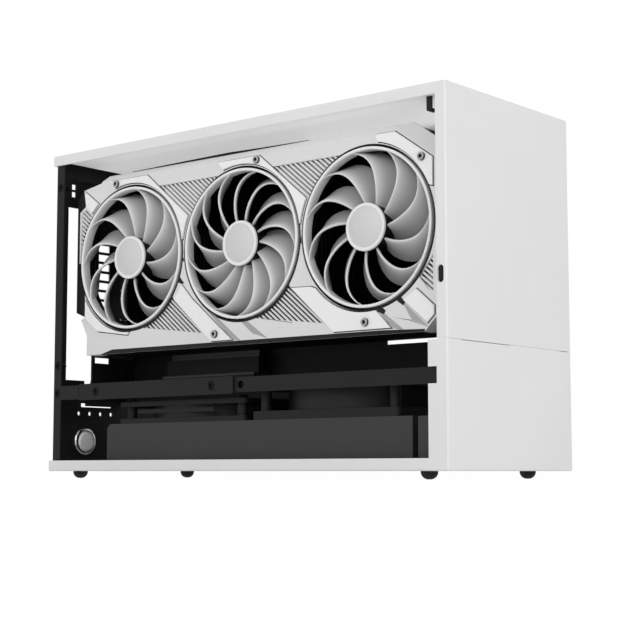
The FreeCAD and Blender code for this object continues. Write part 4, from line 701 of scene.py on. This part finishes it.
def screws(name, node, facing, side=0, finish=None):
    """The screws of a node, or those on one side of the case alone."""
    axis = "XYZ".index(facing[1])
    sign = 1 if facing[0] == "+" else -1
    sizes = [size * MM for size in HEAD[node]]
    head_height = sizes[1]
    model = screw_mesh(*sizes)
    model.transform(TURN[facing])
    places = []
    for low, high in solids(node):
        spot = (low + high) / 2
        spot[axis] = (high[axis] if sign > 0 else low[axis]) - sign * head_height
        if spot.y * side >= 0:
            places.append(spot)
    return repeated(name, model, places, node, finish)


HIGHLIGHT_DEPTH = 0.3 * MM
# The cover's screws get a painted highlight on their faces.
cover_screw = screw_with_painted_highlight(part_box("shroud_screws")[0].y, HIGHLIGHT_DEPTH)
screw_sets = [
    screws("left_case_screws", "case_screws", "-Y", side=-1),
    screws("right_case_screws", "case_screws", "+Y", side=1),
    screws("card_cover_screws", "shroud_screws", "-Y", finish=cover_screw),
    screws("radiator_fan_screws", "fan_screws", "+Z"),
    screws("radiator_base_screws", "radiator_screws", "-Z"),
]
print(len(screw_sets), "sets of screws")

# %% [markdown]
# The feet are pushed into the base from below. Each is a short rubber turning with a generous
# round where it meets the floor.

# %% Rubber feet
FOOT_ROUND = 4.6 * MM
FOOT_EDGE = 0.3 * MM
foot_low, foot_high = solids("case_feet")[0]
foot_radius = (foot_high.x - foot_low.x) / 2
foot_profile = [(0.0, foot_low.z)]
foot_profile += arc(foot_radius - FOOT_ROUND, foot_low.z + FOOT_ROUND, FOOT_ROUND, -90, 0, 10)
foot_profile += arc(foot_radius - FOOT_EDGE, foot_high.z - FOOT_EDGE, FOOT_EDGE, 0, 90, 3)
foot_profile += [(0.0, foot_high.z)]
foot_places = []
for low, high in solids("case_feet"):
    middle = (low + high) / 2
    middle.z = 0.0
    foot_places.append(middle)
repeated("rubber_feet", mesh_of("foot", turned(foot_profile)), foot_places, "case_feet")
print(len(foot_places), "feet of radius", round(foot_radius / MM, 2), "mm")

# %% [markdown]
# ## Fan rotors
#
# A card fan is one moulding: a hub, thin swept blades with a round bright leading edge, and a
# ring that joins the tips. The leading edge leaves the hub almost straight, sweeps forward, and
# in the last part turns along the ring. Its root lies deeper than the hub's rim, so that the
# drum shows beside the hub. Each section of a blade is a cambered strip, thick at the nose and
# thin at the tail, laid round its radius. Sections at growing radii are joined to a tube and
# capped. One blade is made, and the graph turns it round the shaft.


# %% Swept blades
CAMBER = 0.12
STATIONS = 14


def strip(chord, drop, nose, tail, steps=12):
    """A closed blade section: arc length round the shaft against height, nose at zero."""
    middle = []
    for step in range(steps + 1):
        share = step / steps
        middle.append(Vector((-chord * share, -drop * (share + CAMBER * math.sin(math.pi * share)))))
    upper = []
    lower = []
    for step, spot in enumerate(middle):
        share = step / steps
        along = (middle[min(step + 1, steps)] - middle[max(step - 1, 0)]).normalized()
        side = Vector((along.y, -along.x))
        half = (nose + (tail - nose) * share) / 2
        upper.append(spot + side * half)
        lower.append(spot - side * half)
    along = (middle[1] - middle[0]).normalized()
    side = Vector((along.y, -along.x))
    tip = []
    for degrees in (-60, -30, 0, 30, 60):
        angle = math.radians(degrees)
        tip.append(middle[0] - along * nose / 2 * math.cos(angle) + side * nose / 2 * math.sin(angle))
    return lower[::-1] + tip + upper


def blade(rotor):
    """Vertices and faces of one blade round +Z."""
    vertices = []
    for station in range(STATIONS + 1):
        share = station / STATIONS
        radius = rotor["root"] + (rotor["tip"] - rotor["root"]) * share
        lead = math.radians(rotor["sweep"] * share + rotor["flare"] * share ** 6)
        turn = rotor["chord_root"] + (rotor["chord_tip"] - rotor["chord_root"]) * share
        sink = rotor["sink"] * (1 - share) ** 3
        top = rotor["top"] - sink
        section = strip(math.radians(turn) * radius, rotor["drop"] - sink, rotor["nose"], rotor["tail"])
        for around, height in section:
            angle = rotor["hand"] * (lead + around / radius)
            vertices.append((radius * math.cos(angle), radius * math.sin(angle), height + top))
    count = len(vertices) // (STATIONS + 1)
    faces = [list(range(count))[::-1], list(range(STATIONS * count, (STATIONS + 1) * count))]
    for station in range(STATIONS):
        for corner in range(count):
            after = (corner + 1) % count
            faces.append([station * count + corner, station * count + after,
                          (station + 1) * count + after, (station + 1) * count + corner])
    return vertices, faces


def blades(rotor, node):
    one = mesh_of("blade", blade(rotor))
    return round_shaft.run(one, {"Count": rotor["count"], "Material": finishes[slot_of[node]]})


def joined(name, *meshes):
    """Several meshes as one."""
    work = bmesh.new()
    for mesh in meshes:
        work.from_mesh(mesh)
    result = mesh_from(work, name)
    smooth(result, 38.0)
    return result


CARD_ROTOR = {"root": 14.4 * MM, "tip": 49.2 * MM, "sweep": 23.0, "flare": 15.0, "chord_root": 30.0,
              "chord_tip": 16.0, "drop": 12.5 * MM, "nose": 1.7 * MM, "tail": 0.8 * MM, "top": -1.6 * MM,
              "sink": 3.0 * MM}
print("a blade has", len(blade({**CARD_ROTOR, "hand": 1})[1]), "faces")

# %% [markdown]
# The hub is a shallow cup with a thin raised rim on a black drum that holds the magnets, and a
# separate turned cap sits in the cup. The drum's black is partly painted shade beside the hub.
# The middle fan turns the other way and has two more blades, which quietens the three of them
# together.

# %% Card fans
RING_WIDTH = 2.0 * MM
RING_BACK = -7.0 * MM
EDGE = 0.8 * MM
FINE_EDGE = 0.3 * MM
HUB_RADIUS = 15.2 * MM
HUB_BACK = -1.8 * MM
CUP_RADIUS = 13.1 * MM
CUP_FLOOR = -0.6 * MM
CAP_RADIUS = 12.7 * MM
CAP_BACK = CUP_FLOOR - 0.2 * MM
RING_STEPS = 128
HUB_STEPS = 64


def ring_profile(outer):
    inner = outer - RING_WIDTH
    profile = [(outer, RING_BACK)] + arc(outer - EDGE, -EDGE, EDGE, 0, 90)
    profile += arc(inner + EDGE, -EDGE, EDGE, 90, 180)
    return profile + [(inner, RING_BACK), (outer, RING_BACK)]


def hub_profile():
    profile = [(0.0, HUB_BACK), (HUB_RADIUS, HUB_BACK)] + arc(HUB_RADIUS - EDGE, -EDGE, EDGE, 0, 90)
    profile += arc(CUP_RADIUS + FINE_EDGE, -FINE_EDGE, FINE_EDGE, 90, 180)
    return profile + [(CUP_RADIUS, CUP_FLOOR), (0.0, CUP_FLOOR)]


def drum_profile(depth):
    radius = HUB_RADIUS - FINE_EDGE
    return [(0.0, -depth), (radius, -depth), (radius, HUB_BACK), (0.0, HUB_BACK)]


def cap_profile():
    return [(0.0, CAP_BACK), (CAP_RADIUS, CAP_BACK), (CAP_RADIUS, CUP_FLOOR + 0.1 * MM),
            (CAP_RADIUS - 0.4 * MM, CUP_FLOOR + 0.35 * MM), (0.0, CUP_FLOOR + 0.45 * MM)]


def card_fan(name, node, count, hand, rest=0.0):
    """A card fan whose blades have come to rest at an angle in degrees."""
    low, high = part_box(node)
    shaft = (low + high) / 2
    shaft.y = low.y
    spinning = blades({**CARD_ROTOR, "count": count, "hand": hand}, node)
    spinning.transform(Matrix.Rotation(math.radians(rest), 4, "Z"))
    ring = mesh_of("ring", turned(ring_profile((high.x - low.x) / 2), RING_STEPS))
    rotor = joined(name, spinning, ring, mesh_of("hub", turned(hub_profile(), HUB_STEPS)))
    drum = mesh_of(name + "_drum", turned(drum_profile(high.y - low.y), HUB_STEPS))
    cap = mesh_of(name + "_cap", turned(cap_profile(), HUB_STEPS))
    for mesh in (rotor, drum, cap):
        mesh.transform(Matrix.Translation(shaft) @ TURN["-Y"])
    piece(name, rotor, node)
    # The black drum also stands for painted shade beside the hub.
    piece(name + "_drum", drum, node, finishes["fan_black"])
    piece(name + "_cap", cap, node, turned_cap(name + "_turned", shaft))
    print(name, "has", count, "blades and", len(rotor.polygons), "faces")


card_fan("rear_card_fan", "card_rotor_rear", 11, 1, 14.0)
card_fan("middle_card_fan", "card_rotor_middle", 13, -1)
card_fan("front_card_fan", "card_rotor_front", 11, 1)

# %% [markdown]
# ## Painted shade between the cover's pieces
#
# Dark lines of painted shade draw the cover's pieces apart. The cover is a thin white shell, and
# the wall of each opening behind its edge lies in shade, so a thin black tube of painted shade
# lines it. The groove round each trim plate is filled with a black line of painted shade. It is the
# plate's own shape, grown to the width of the groove and held below the face.


# %% Painted shade in the openings and grooves
def grown(node, width, front):
    """A copy of a node grown sideways, with nothing in front of a given depth."""
    work = flat_faced(node)
    work.normal_update()
    back = max(vertex.co.y for vertex in work.verts)
    spots = [vertex.co + vertex.normal * width * vertex.calc_shell_factor() for vertex in work.verts]
    for vertex, spot in zip(work.verts, spots):
        vertex.co = (spot.x, min(max(spot.y, front), back), spot.z)
    return mesh_from(work, node + "_seal")


OPENING = 51.97 * MM
LINER = 0.4 * MM
LINER_BACK = -11.8 * MM
LINER_FRONT = -0.5 * MM
SHADE_LINE_WIDTH = 0.55 * MM
SHADE_LINE_DEPTH = 0.15 * MM
cover_low, cover_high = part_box("card_shroud")
face = cover_low.y
liner_profile = [(OPENING - LINER, LINER_BACK), (OPENING, LINER_BACK), (OPENING, LINER_FRONT),
                 (OPENING - LINER, LINER_FRONT), (OPENING - LINER, LINER_BACK)]
shafts = {}
wall_shades = []
for node in ("card_rotor_rear", "card_rotor_middle", "card_rotor_front"):
    low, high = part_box(node)
    shafts[node] = (low + high) / 2
    shafts[node].y = face
    tube = mesh_of(node + "_liner", turned(liner_profile, RING_STEPS))
    tube.transform(Matrix.Translation(shafts[node]) @ TURN["-Y"])
    wall_shades.append(tube)
# A thin black tube of painted shade lines each opening's wall.
addition("fan_opening_liners", joined("fan_opening_liners", *wall_shades), "black_plastic")
trims = [node for node in nodes if node.startswith("trim_")]
# Black lines of painted shade fill the grooves round the trims.
shade_lines = [grown(node, SHADE_LINE_WIDTH, face + SHADE_LINE_DEPTH) for node in trims]
addition("trim_seals", joined("trim_seals", *shade_lines), "black_plastic")
print(len(wall_shades), "liners and", len(shade_lines), "shade_lines")

# %% [markdown]
# Between the fans, small black wedges of painted shade lie on the cover. A thin black line of
# painted shade stands on the cover's upper edge, behind its face. All of them are thin plates
# whose corners are measured across and up from a fan's shaft, in millimetres.


# %% Wedges and the upper line of painted shade
PLATE = 0.5 * MM
PROUD = 0.05 * MM
SHADE_WEDGES = {
    "card_rotor_rear": (((52.0, -3.9), (53.5, -5.2), (53.9, -7.4), (51.6, -7.8)),
                        ((49.3, -17.3), (54.2, -22.8), (51.5, -23.1), (47.7, -21.4))),
    "card_rotor_middle": (((48.6, 19.4), (55.0, 13.2), (52.0, 12.0), (50.8, 12.5)),
                          ((52.15, -0.5), (53.4, -1.5), (53.6, -5.6), (51.9, -4.5)),
                          ((21.6, -51.6), (46.0, -55.7), (45.9, -56.0), (21.6, -51.9))),
    "card_rotor_front": (((23.6, -47.6), (26.9, -45.6), (30.2, -48.9), (28.6, -51.0)),
                         ((7.6, -52.6), (12.6, -50.9), (15.4, -53.3), (13.8, -55.4)),
                         ((19.8, -57.5), (33.5, -59.9), (47.8, -65.4), (33.4, -60.3))),
}
UPPER_EDGE = ((-116.0, 63.4), (49.8, 63.4), (49.8, 64.6), (10.0, 65.2), (-20.5, 66.0), (-83.0, 65.2),
              (-116.0, 64.6))
UPPER_DEPTH = 0.6 * MM


def plate(corners, front):
    """A thin plate that faces the open side, with its corners in X and Z."""
    count = len(corners)
    vertices = [(x, front, z) for x, z in corners] + [(x, front + PLATE, z) for x, z in corners]
    sides = [[step, (step + 1) % count, (step + 1) % count + count, step + count] for step in range(count)]
    return vertices, sides + [list(range(count)), list(range(count, 2 * count))]


def around(centre, outline):
    """Corners in X and Z from an outline in millimetres across and up from a centre."""
    return [(centre.x + across * MM, centre.z + up * MM) for across, up in outline]


def plates(outlines, front):
    """A plate for each of the outlines that belong to a fan's shaft."""
    return [plate(around(shafts[node], outline), front) for node in outlines for outline in outlines[node]]


# Thin black plates of painted shade.
shade_wedges = plates(SHADE_WEDGES, face - PROUD)
shade_wedges.append(plate(around(shafts["card_rotor_middle"], UPPER_EDGE), cover_high.y - UPPER_DEPTH))
addition("cover_clips", mesh_of("cover_clips", *shade_wedges), "black_plastic")
print(len(shade_wedges), "clips and seals")

# %% [markdown]
# Round the lower front of each opening a thin black crescent of painted shade lies beside the
# cover's edge. Its outer edge is a circle like the opening's own, moved down and to the front.
# Between the ribs of the louvres, short black teeth of painted shade stand beside the rings, and
# a black plate of painted shade lies behind the ribs of both lower louvres. A black lip of painted
# shade runs along the cover's lower edge.


# %% Crescents, teeth and lip of painted shade
LEAST_WIDTH = 0.02 * MM
SHIFT_TURN = math.radians(38.0)


def band(shaft, angles, depths, reach, shift=0.0, steps=64):
    """A flat band outside a fan's opening. A shift moves its outer circle down and to the front."""
    start, end = angles
    vertices = []
    for step in range(steps + 1):
        angle = math.radians(start + (end - start) * step / steps)
        width = max(LEAST_WIDTH, reach + shift * math.cos(angle + SHIFT_TURN))
        for radius in (OPENING, OPENING + width):
            x = shaft.x + radius * math.cos(angle)
            z = shaft.z + radius * math.sin(angle)
            vertices += [(x, depth, z) for depth in depths]
    faces = [[0, 1, 3, 2], [4 * steps + corner for corner in (0, 2, 3, 1)]]
    for low in range(0, 4 * steps, 4):
        for one, two in ((0, 1), (1, 3), (3, 2), (2, 0)):
            faces.append([low + one, low + two, low + 4 + two, low + 4 + one])
    return vertices, faces


CRESCENT_DEPTHS = (face - 0.04 * MM, face + 0.3 * MM)
TOOTH_DEPTHS = (face + 1.5 * MM, face + 2.3 * MM)
LOUVRE_SHADE_PLATE = ((15.0, -51.5), (71.0, -57.3), (44.8, -33.2), (43.2, -30.6), (38.0, -37.0), (30.0, -44.0),
                (22.0, -48.5))
rims = []
for shaft in shafts.values():
    rims.append(band(shaft, (-180.0, 90.0), CRESCENT_DEPTHS, reach=0.1 * MM, shift=1.15 * MM))
    rims.append(band(shaft, (-80.0, -20.0), TOOTH_DEPTHS, reach=3.53 * MM))
rims.append(band(shafts["card_rotor_rear"], (135.0, 172.0), TOOTH_DEPTHS, reach=2.53 * MM))
for node in ("card_rotor_rear", "card_rotor_middle"):
    rims.append(plate(around(shafts[node], LOUVRE_SHADE_PLATE), TOOTH_DEPTHS[1]))
# Crescents, teeth and louvre plates are black plates of painted shade.
addition("frame_rims", mesh_of("frame_rims", *rims), "black_plastic")

lip_low = cover_low.z - PROUD
lip_end = cover_high.x - 9.0 * MM
lip = [(cover_low.x + 24.0 * MM, lip_low), (lip_end, lip_low), (lip_end, cover_low.z + 1.4 * MM),
       (cover_high.x - 40.0 * MM, cover_low.z + 2.4 * MM), (cover_low.x + 36.0 * MM, cover_low.z + 2.9 * MM)]
# The lip is a black plate of painted shade along the cover's lower edge.
addition("frame_lip", mesh_of("frame_lip", plate(lip, face - PROUD)), "black_plastic")
print(len(rims), "rims and a lip", round((lip_end - lip[0][0]) / MM), "mm long")

# %% [markdown]
# Four shallow folds run from the rings to that lip. Their sides face away from the light, so
# thin plates in a greyer moulding stand for them.

# %% Folds of the cover
FOLDS = {
    "card_rotor_middle": (((-30.0, -42.6), (-20.7, -47.7), (1.1, -64.9), (-6.4, -63.8)),
                          ((1.0, -52.1), (6.9, -52.4), (25.0, -64.9), (11.4, -60.8))),
    "card_rotor_front": (((9.0, -53.9), (13.6, -54.2), (30.3, -66.6), (21.7, -64.6)),
                         ((27.7, -48.5), (29.8, -49.7), (47.8, -65.2), (34.8, -60.0))),
}
FOLD_PROUD = 0.03 * MM
folds = plates(FOLDS, face - FOLD_PROUD)
shade = surface("moulding_in_shade", greys(0.36, 0.42), (0.50, 0.12), (1700.0, 6e-6), gloss=0.4)
addition("cover_folds", mesh_of("cover_folds", *folds), "shroud_white", shade)
print(len(folds), "folds")

# %% [markdown]
# ## Radiator fans
#
# The two radiator fans have broad blades without a ring. They lie flat, so their shaft is +Z.
# The thin fan is a slimmer edition of the other, with less room for its blades. Its frame is
# weak between the two flanges, so a rib stiffens it on the open side.

# %% Blades, hubs and the rib
RADIATOR_ROTOR = {"root": 19.2 * MM, "sweep": 24.0, "flare": 0.0, "chord_root": 34.0, "chord_tip": 30.0,
                  "nose": 1.6 * MM, "tail": 0.8 * MM, "top": -1.8 * MM, "sink": 0.0, "count": 9, "hand": 1}
TIP_CLEARANCE = 0.1 * MM
BLADE_CLEARANCE = 4.5 * MM
FAN_HUB = 20.0 * MM
FAN_HUB_ROUND = 1.2 * MM
RECESS = 17.0 * MM
RIB = ((-40.0, -0.8), (33.0, -0.8), (33.0, 2.0), (-40.0, 2.0))
RIB_DEPTH = 0.2 * MM


def radiator_fan(name, node):
    low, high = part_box(node)
    shaft = (low + high) / 2
    shaft.z = high.z
    depth = high.z - low.z
    tip = (high.x - low.x) / 2 - TIP_CLEARANCE
    hub = [(0.0, -depth), (FAN_HUB, -depth)]
    hub += arc(FAN_HUB - FAN_HUB_ROUND, -FAN_HUB_ROUND, FAN_HUB_ROUND, 0, 90)
    hub += [(RECESS, 0.0), (RECESS - FINE_EDGE, -FINE_EDGE), (0.0, -FINE_EDGE)]
    spinning = blades({**RADIATOR_ROTOR, "tip": tip, "drop": depth - BLADE_CLEARANCE}, node)
    mesh = joined(name, spinning, mesh_of("hub", turned(hub, HUB_STEPS)))
    mesh.transform(Matrix.Translation(shaft))
    piece(name, mesh, node)
    print(name, "is", round(depth / MM, 1), "mm deep")


radiator_fan("slim_radiator_fan", "slim_fan_rotor")
radiator_fan("full_radiator_fan", "full_fan_rotor")
slim_low, slim_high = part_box("slim_fan_frame")
rib = plate(around((slim_low + slim_high) / 2, RIB), slim_low.y + RIB_DEPTH)
addition("slim_fan_rib", mesh_of("slim_fan_rib", rib), "black_plastic")

# %% [markdown]
# ## Radiator fins
#
# Between the flat tubes of the core stand thin fins, folded from foil. A grid of upright
# strips makes them, one row for each gap between tubes, and each strip leans a little against
# its neighbour as the folds of the foil do. The tubes are long boxes across the rows.


# %% A graph for the core
core = Graph("finned_core", {
    "Length": "Float", "Width": "Float", "Fins": "Int", "Rows": "Int", "Fin Size": "Vector",
    "Tube Size": "Vector", "Tube Spread": "Float", "Lean": "Float", "Material": "Material"})
fin_grid = core.add("GeometryNodeMeshGrid", None, {
    "Size X": core.given("Length"), "Size Y": core.given("Width"),
    "Vertices X": core.given("Fins"), "Vertices Y": core.given("Rows")})
fin = core.add("GeometryNodeMeshCube", None, {"Size": core.given("Fin Size")})
index = core.wire(core.add("GeometryNodeInputIndex"))
lean = (index.math("PINGPONG", index, 1.0) - 0.5) * core.given("Lean")
tube_grid = core.add("GeometryNodeMeshGrid", None, {
    "Size X": 0.0, "Vertices X": 2,
    "Size Y": core.given("Tube Spread"), "Vertices Y": core.given("Rows") + 1.0})
tube = core.add("GeometryNodeMeshCube", None, {"Size": core.given("Tube Size")})
both = core.add("GeometryNodeJoinGeometry", None, {0: core.copies(core.wire(fin_grid), core.wire(fin), lean)})
core.feed(both, {0: core.copies(core.wire(tube_grid), core.wire(tube))})
core.close(core.wire(both))
print("the graph of the core has", len(core.tree.nodes), "nodes")

# %% [markdown]
# The core's own box gives the sizes. Eleven rows of fins lie between twelve tubes, and the fins
# stand a little inside the faces of the core.

# %% Fins and tubes
ROWS = 11
FINS = 160
TUBE = 2.0 * MM
FOIL = 0.18 * MM
END_GAPS = 2.0 * MM
FACE_GAPS = 3.0 * MM
core_low, core_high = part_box("radiator_core")
core_size = core_high - core_low
tube_pitch = (core_size.y - TUBE) / ROWS
core_mesh = core.run(place_mesh([]), {
    "Length": core_size.x - END_GAPS, "Width": tube_pitch * (ROWS - 1), "Fins": FINS, "Rows": ROWS,
    "Fin Size": (FOIL, tube_pitch - TUBE, core_size.z - FACE_GAPS),
    "Tube Size": (core_size.x, TUBE, core_size.z), "Tube Spread": tube_pitch * ROWS,
    "Lean": math.radians(14.0), "Material": finishes["fin_metal"],
})
core_mesh.transform(Matrix.Translation((core_low + core_high) / 2))
piece("radiator_fins", core_mesh, "radiator_core")
print("core:", len(core_mesh.polygons), "faces")

# %% [markdown]
# ## Power switch
#
# The switch passes through the rear plate, and a round nut with a broad chamfer clamps it from
# inside. The end of its barrel stands beyond the nut and has a well rounded edge. Both are
# turned shapes round X. They are the bright disc in its ring, low at the rear of the case. The
# nut is plated and polished, and the barrel's end is satin, so that it is bright from all sides.


# %% Round nut
def along_x(name, profile, place, steps=72):
    """A turned shape whose height runs along +X."""
    mesh = mesh_of(name, turned(profile, steps))
    mesh.transform(Matrix.Translation(place) @ Matrix.Rotation(math.pi / 2, 4, "Y"))
    return mesh


BORE = 7.3 * MM
CHAMFER = 1.5 * MM
nut_low, nut_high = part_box("power_switch_nut")
nut_radius = (nut_high.y - nut_low.y) / 2
nut_thick = nut_high.x - nut_low.x
middle_y = (nut_low.y + nut_high.y) / 2
middle_z = (nut_low.z + nut_high.z) / 2
nut_profile = [(BORE, 0.0), (nut_radius, 0.0), (nut_radius, nut_thick - CHAMFER)]
nut_profile += arc(nut_radius - CHAMFER, nut_thick - CHAMFER, CHAMFER, 0, 75)
nut_profile += [(BORE + FINE_EDGE, nut_thick), (BORE, nut_thick - FINE_EDGE), (BORE, 0.0)]
piece("switch_nut", along_x("switch_nut", nut_profile, (nut_low.x, middle_y, middle_z)), "power_switch_nut")
print("switch nut", round(2 * nut_radius / MM, 1), "mm across")

# %% [markdown]
# The barrel is one turning with its bezel, which stands outside the rear plate and holds the
# button in a pocket.

# %% Switch barrel
BARREL = 7.2 * MM
BARREL_ROUND = 1.8 * MM
POCKET = 5.6 * MM
POCKET_DEPTH = 4.4 * MM
BEZEL_ROUND = 0.7 * MM
BEZEL_THICK = 1.4 * MM
switch_low, switch_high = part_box("power_switch_body")
length = switch_high.x - switch_low.x
bezel = (switch_high.y - switch_low.y) / 2
switch_profile = [(0.0, POCKET_DEPTH), (POCKET, POCKET_DEPTH), (POCKET, 0.0)]
switch_profile += arc(bezel - BEZEL_ROUND, BEZEL_ROUND, BEZEL_ROUND, -90, 0)
switch_profile += [(bezel, BEZEL_THICK), (BARREL, BEZEL_THICK)]
switch_profile += arc(BARREL - BARREL_ROUND, length - BARREL_ROUND, BARREL_ROUND, 0, 90, 8)
switch_profile += [(0.0, length)]
satin = surface("satin_switch_end", greys(0.90, 0.94), (0.34, 0.10), (1400.0, 3e-6), gloss=0.8)
switch = along_x("switch_barrel", switch_profile, (switch_low.x, middle_y, middle_z))
piece("switch_barrel", switch, "power_switch_body", satin)
print("switch barrel", round(length / MM, 1), "mm long")

# %% [markdown]
# ## Studio
#
# The photo has a pure white ground, soft light from all round and a low camera that looks up a
# little. Two vanishing points measured on the long and the short edges give the camera's angle
# and lens. The sky is white to the camera and about half as bright as a lamp, so that white
# paint stays below white. The floor mixes its own shading with white, which keeps a faint
# shadow at the feet.

# %% Sky and floor
WHITE = (1.0, 1.0, 1.0, 1.0)
SKY_LEVEL = 0.53
PAPER_SHARE = 0.98
FLOOR_REACH = 6.0
scene = bpy.context.scene
scene.view_settings.view_transform = "Standard"


def seen_rays(bench):
    """One for rays that show the ground to the eye: straight, mirrored or through glass."""
    path = bench.add("ShaderNodeLightPath")
    seen = bench.wire(path, "Is Camera Ray")
    seen = seen.math("MAXIMUM", seen, bench.wire(path, "Is Glossy Ray"))
    return seen.math("MAXIMUM", seen, bench.wire(path, "Is Transmission Ray"))


world = bpy.data.worlds.new("studio_sky")
world.use_nodes = True
world.node_tree.nodes.clear()
scene.world = world
sky = Bench(world.node_tree)
white = sky.add("ShaderNodeBackground", None, {"Color": WHITE, "Strength": 1.0})
soft = sky.add("ShaderNodeBackground", None, {"Color": WHITE, "Strength": SKY_LEVEL})
mixed = sky.add("ShaderNodeMixShader", None, {0: seen_rays(sky), 1: sky.wire(soft), 2: sky.wire(white)})
sky.add("ShaderNodeOutputWorld", None, {"Surface": sky.wire(mixed)})

floor_mesh = bpy.data.meshes.new("studio_floor")
floor_corners = [(x * FLOOR_REACH, y * FLOOR_REACH, 0.0) for x, y in ((-1, -1), (1, -1), (1, 1), (-1, 1))]
floor_mesh.from_pydata(floor_corners, [], [(0, 1, 2, 3)])
floor = scene_object("studio_floor", floor_mesh)
paper = Finish("studio_paper")
paper.paint({"Base Color": paper.shades(paper.noise(paper.place(), 3.0), greys(0.88, 0.90)),
             "Roughness": 0.9, "Specular IOR Level": 0.1})
glow = paper.add("ShaderNodeEmission", None, {"Color": WHITE, "Strength": 1.0})
shown = paper.add("ShaderNodeMixShader", None, {
    0: seen_rays(paper) * PAPER_SHARE, 1: paper.wire(paper.shader, "BSDF"), 2: paper.wire(glow)})
paper.feed(paper.tree.nodes["Material Output"], {"Surface": paper.wire(shown)})
floor_mesh.materials.append(paper.material)
print("sky and floor, lit at", SKY_LEVEL)

# %% [markdown]
# Two broad lamps stand on the open side and in front. The underside of the top is a narrow
# ledge above the card, where their light hardly reaches, so a photographer would lay strip
# lamps on the card, out of sight, shining up: a strong one deep in the gap and a weak one at
# its edge, where the sky helps.


# %% Lamps
def lamp(name, place, aim, size, power):
    """A soft lamp that faces its aim: a disc for one size, a strip for two."""
    light = bpy.data.lights.new(name, "AREA")
    light.shape = "RECTANGLE" if len(size) == 2 else "DISK"
    light.size = size[0]
    light.size_y = size[-1]
    light.energy = power
    holder = bpy.data.objects.new(name, light)
    scene.collection.objects.link(holder)
    holder.location = place
    holder.rotation_mode = "QUATERNION"
    holder.rotation_quaternion = (Vector(aim) - Vector(place)).to_track_quat("-Z", "Y")
    return holder


CASE_MIDDLE = (0.0, 0.0, 0.12)
BROAD_POWER = 9.5
STRIP_X = -0.005
STRIP_Z = 0.2205
STRIP_AIM_Z = 0.3
STRIP_LENGTH = 0.345
# Depth, width and power of each strip.
STRIPS = {"deep_strip": (-0.024, 0.050, 0.036), "edge_strip": (-0.061, 0.018, 0.0052)}
lamp("key_lamp", (0.3, -1.7, 0.9), CASE_MIDDLE, size=(1.0,), power=BROAD_POWER)
lamp("front_lamp", (1.9, -0.2, 0.5), CASE_MIDDLE, size=(1.2,), power=BROAD_POWER)
for name, (depth, width, power) in STRIPS.items():
    place = (STRIP_X, depth, STRIP_Z)
    strip_lamp = lamp(name, place, (STRIP_X, depth, STRIP_AIM_Z), (STRIP_LENGTH, width), power)
    strip_lamp.visible_camera = False
print("studio with", len(bpy.data.lights), "lamps")

# %% [markdown]
# The camera stands five millimetres above the floor, 40 degrees round from the open side
# towards the front, and looks up six degrees.

# %% Camera at the photo's angle
EYE = (0.6774, -0.7982, 0.005)
AHEAD_X = -0.640
AHEAD_Y = 0.768
LOOK_UP = math.radians(6.047)
lens = bpy.data.cameras.new("photo_camera")
lens.sensor_width = 36.0
lens.lens = 88.24
lens.clip_start = 0.01
camera = bpy.data.objects.new("photo_camera", lens)
scene.collection.objects.link(camera)
camera.location = EYE
look = Vector((AHEAD_X * math.cos(LOOK_UP), AHEAD_Y * math.cos(LOOK_UP), math.sin(LOOK_UP)))
camera.rotation_mode = "QUATERNION"
camera.rotation_quaternion = look.to_track_quat("-Z", "Y")
scene.camera = camera
print("camera at", [round(value, 3) for value in camera.location])
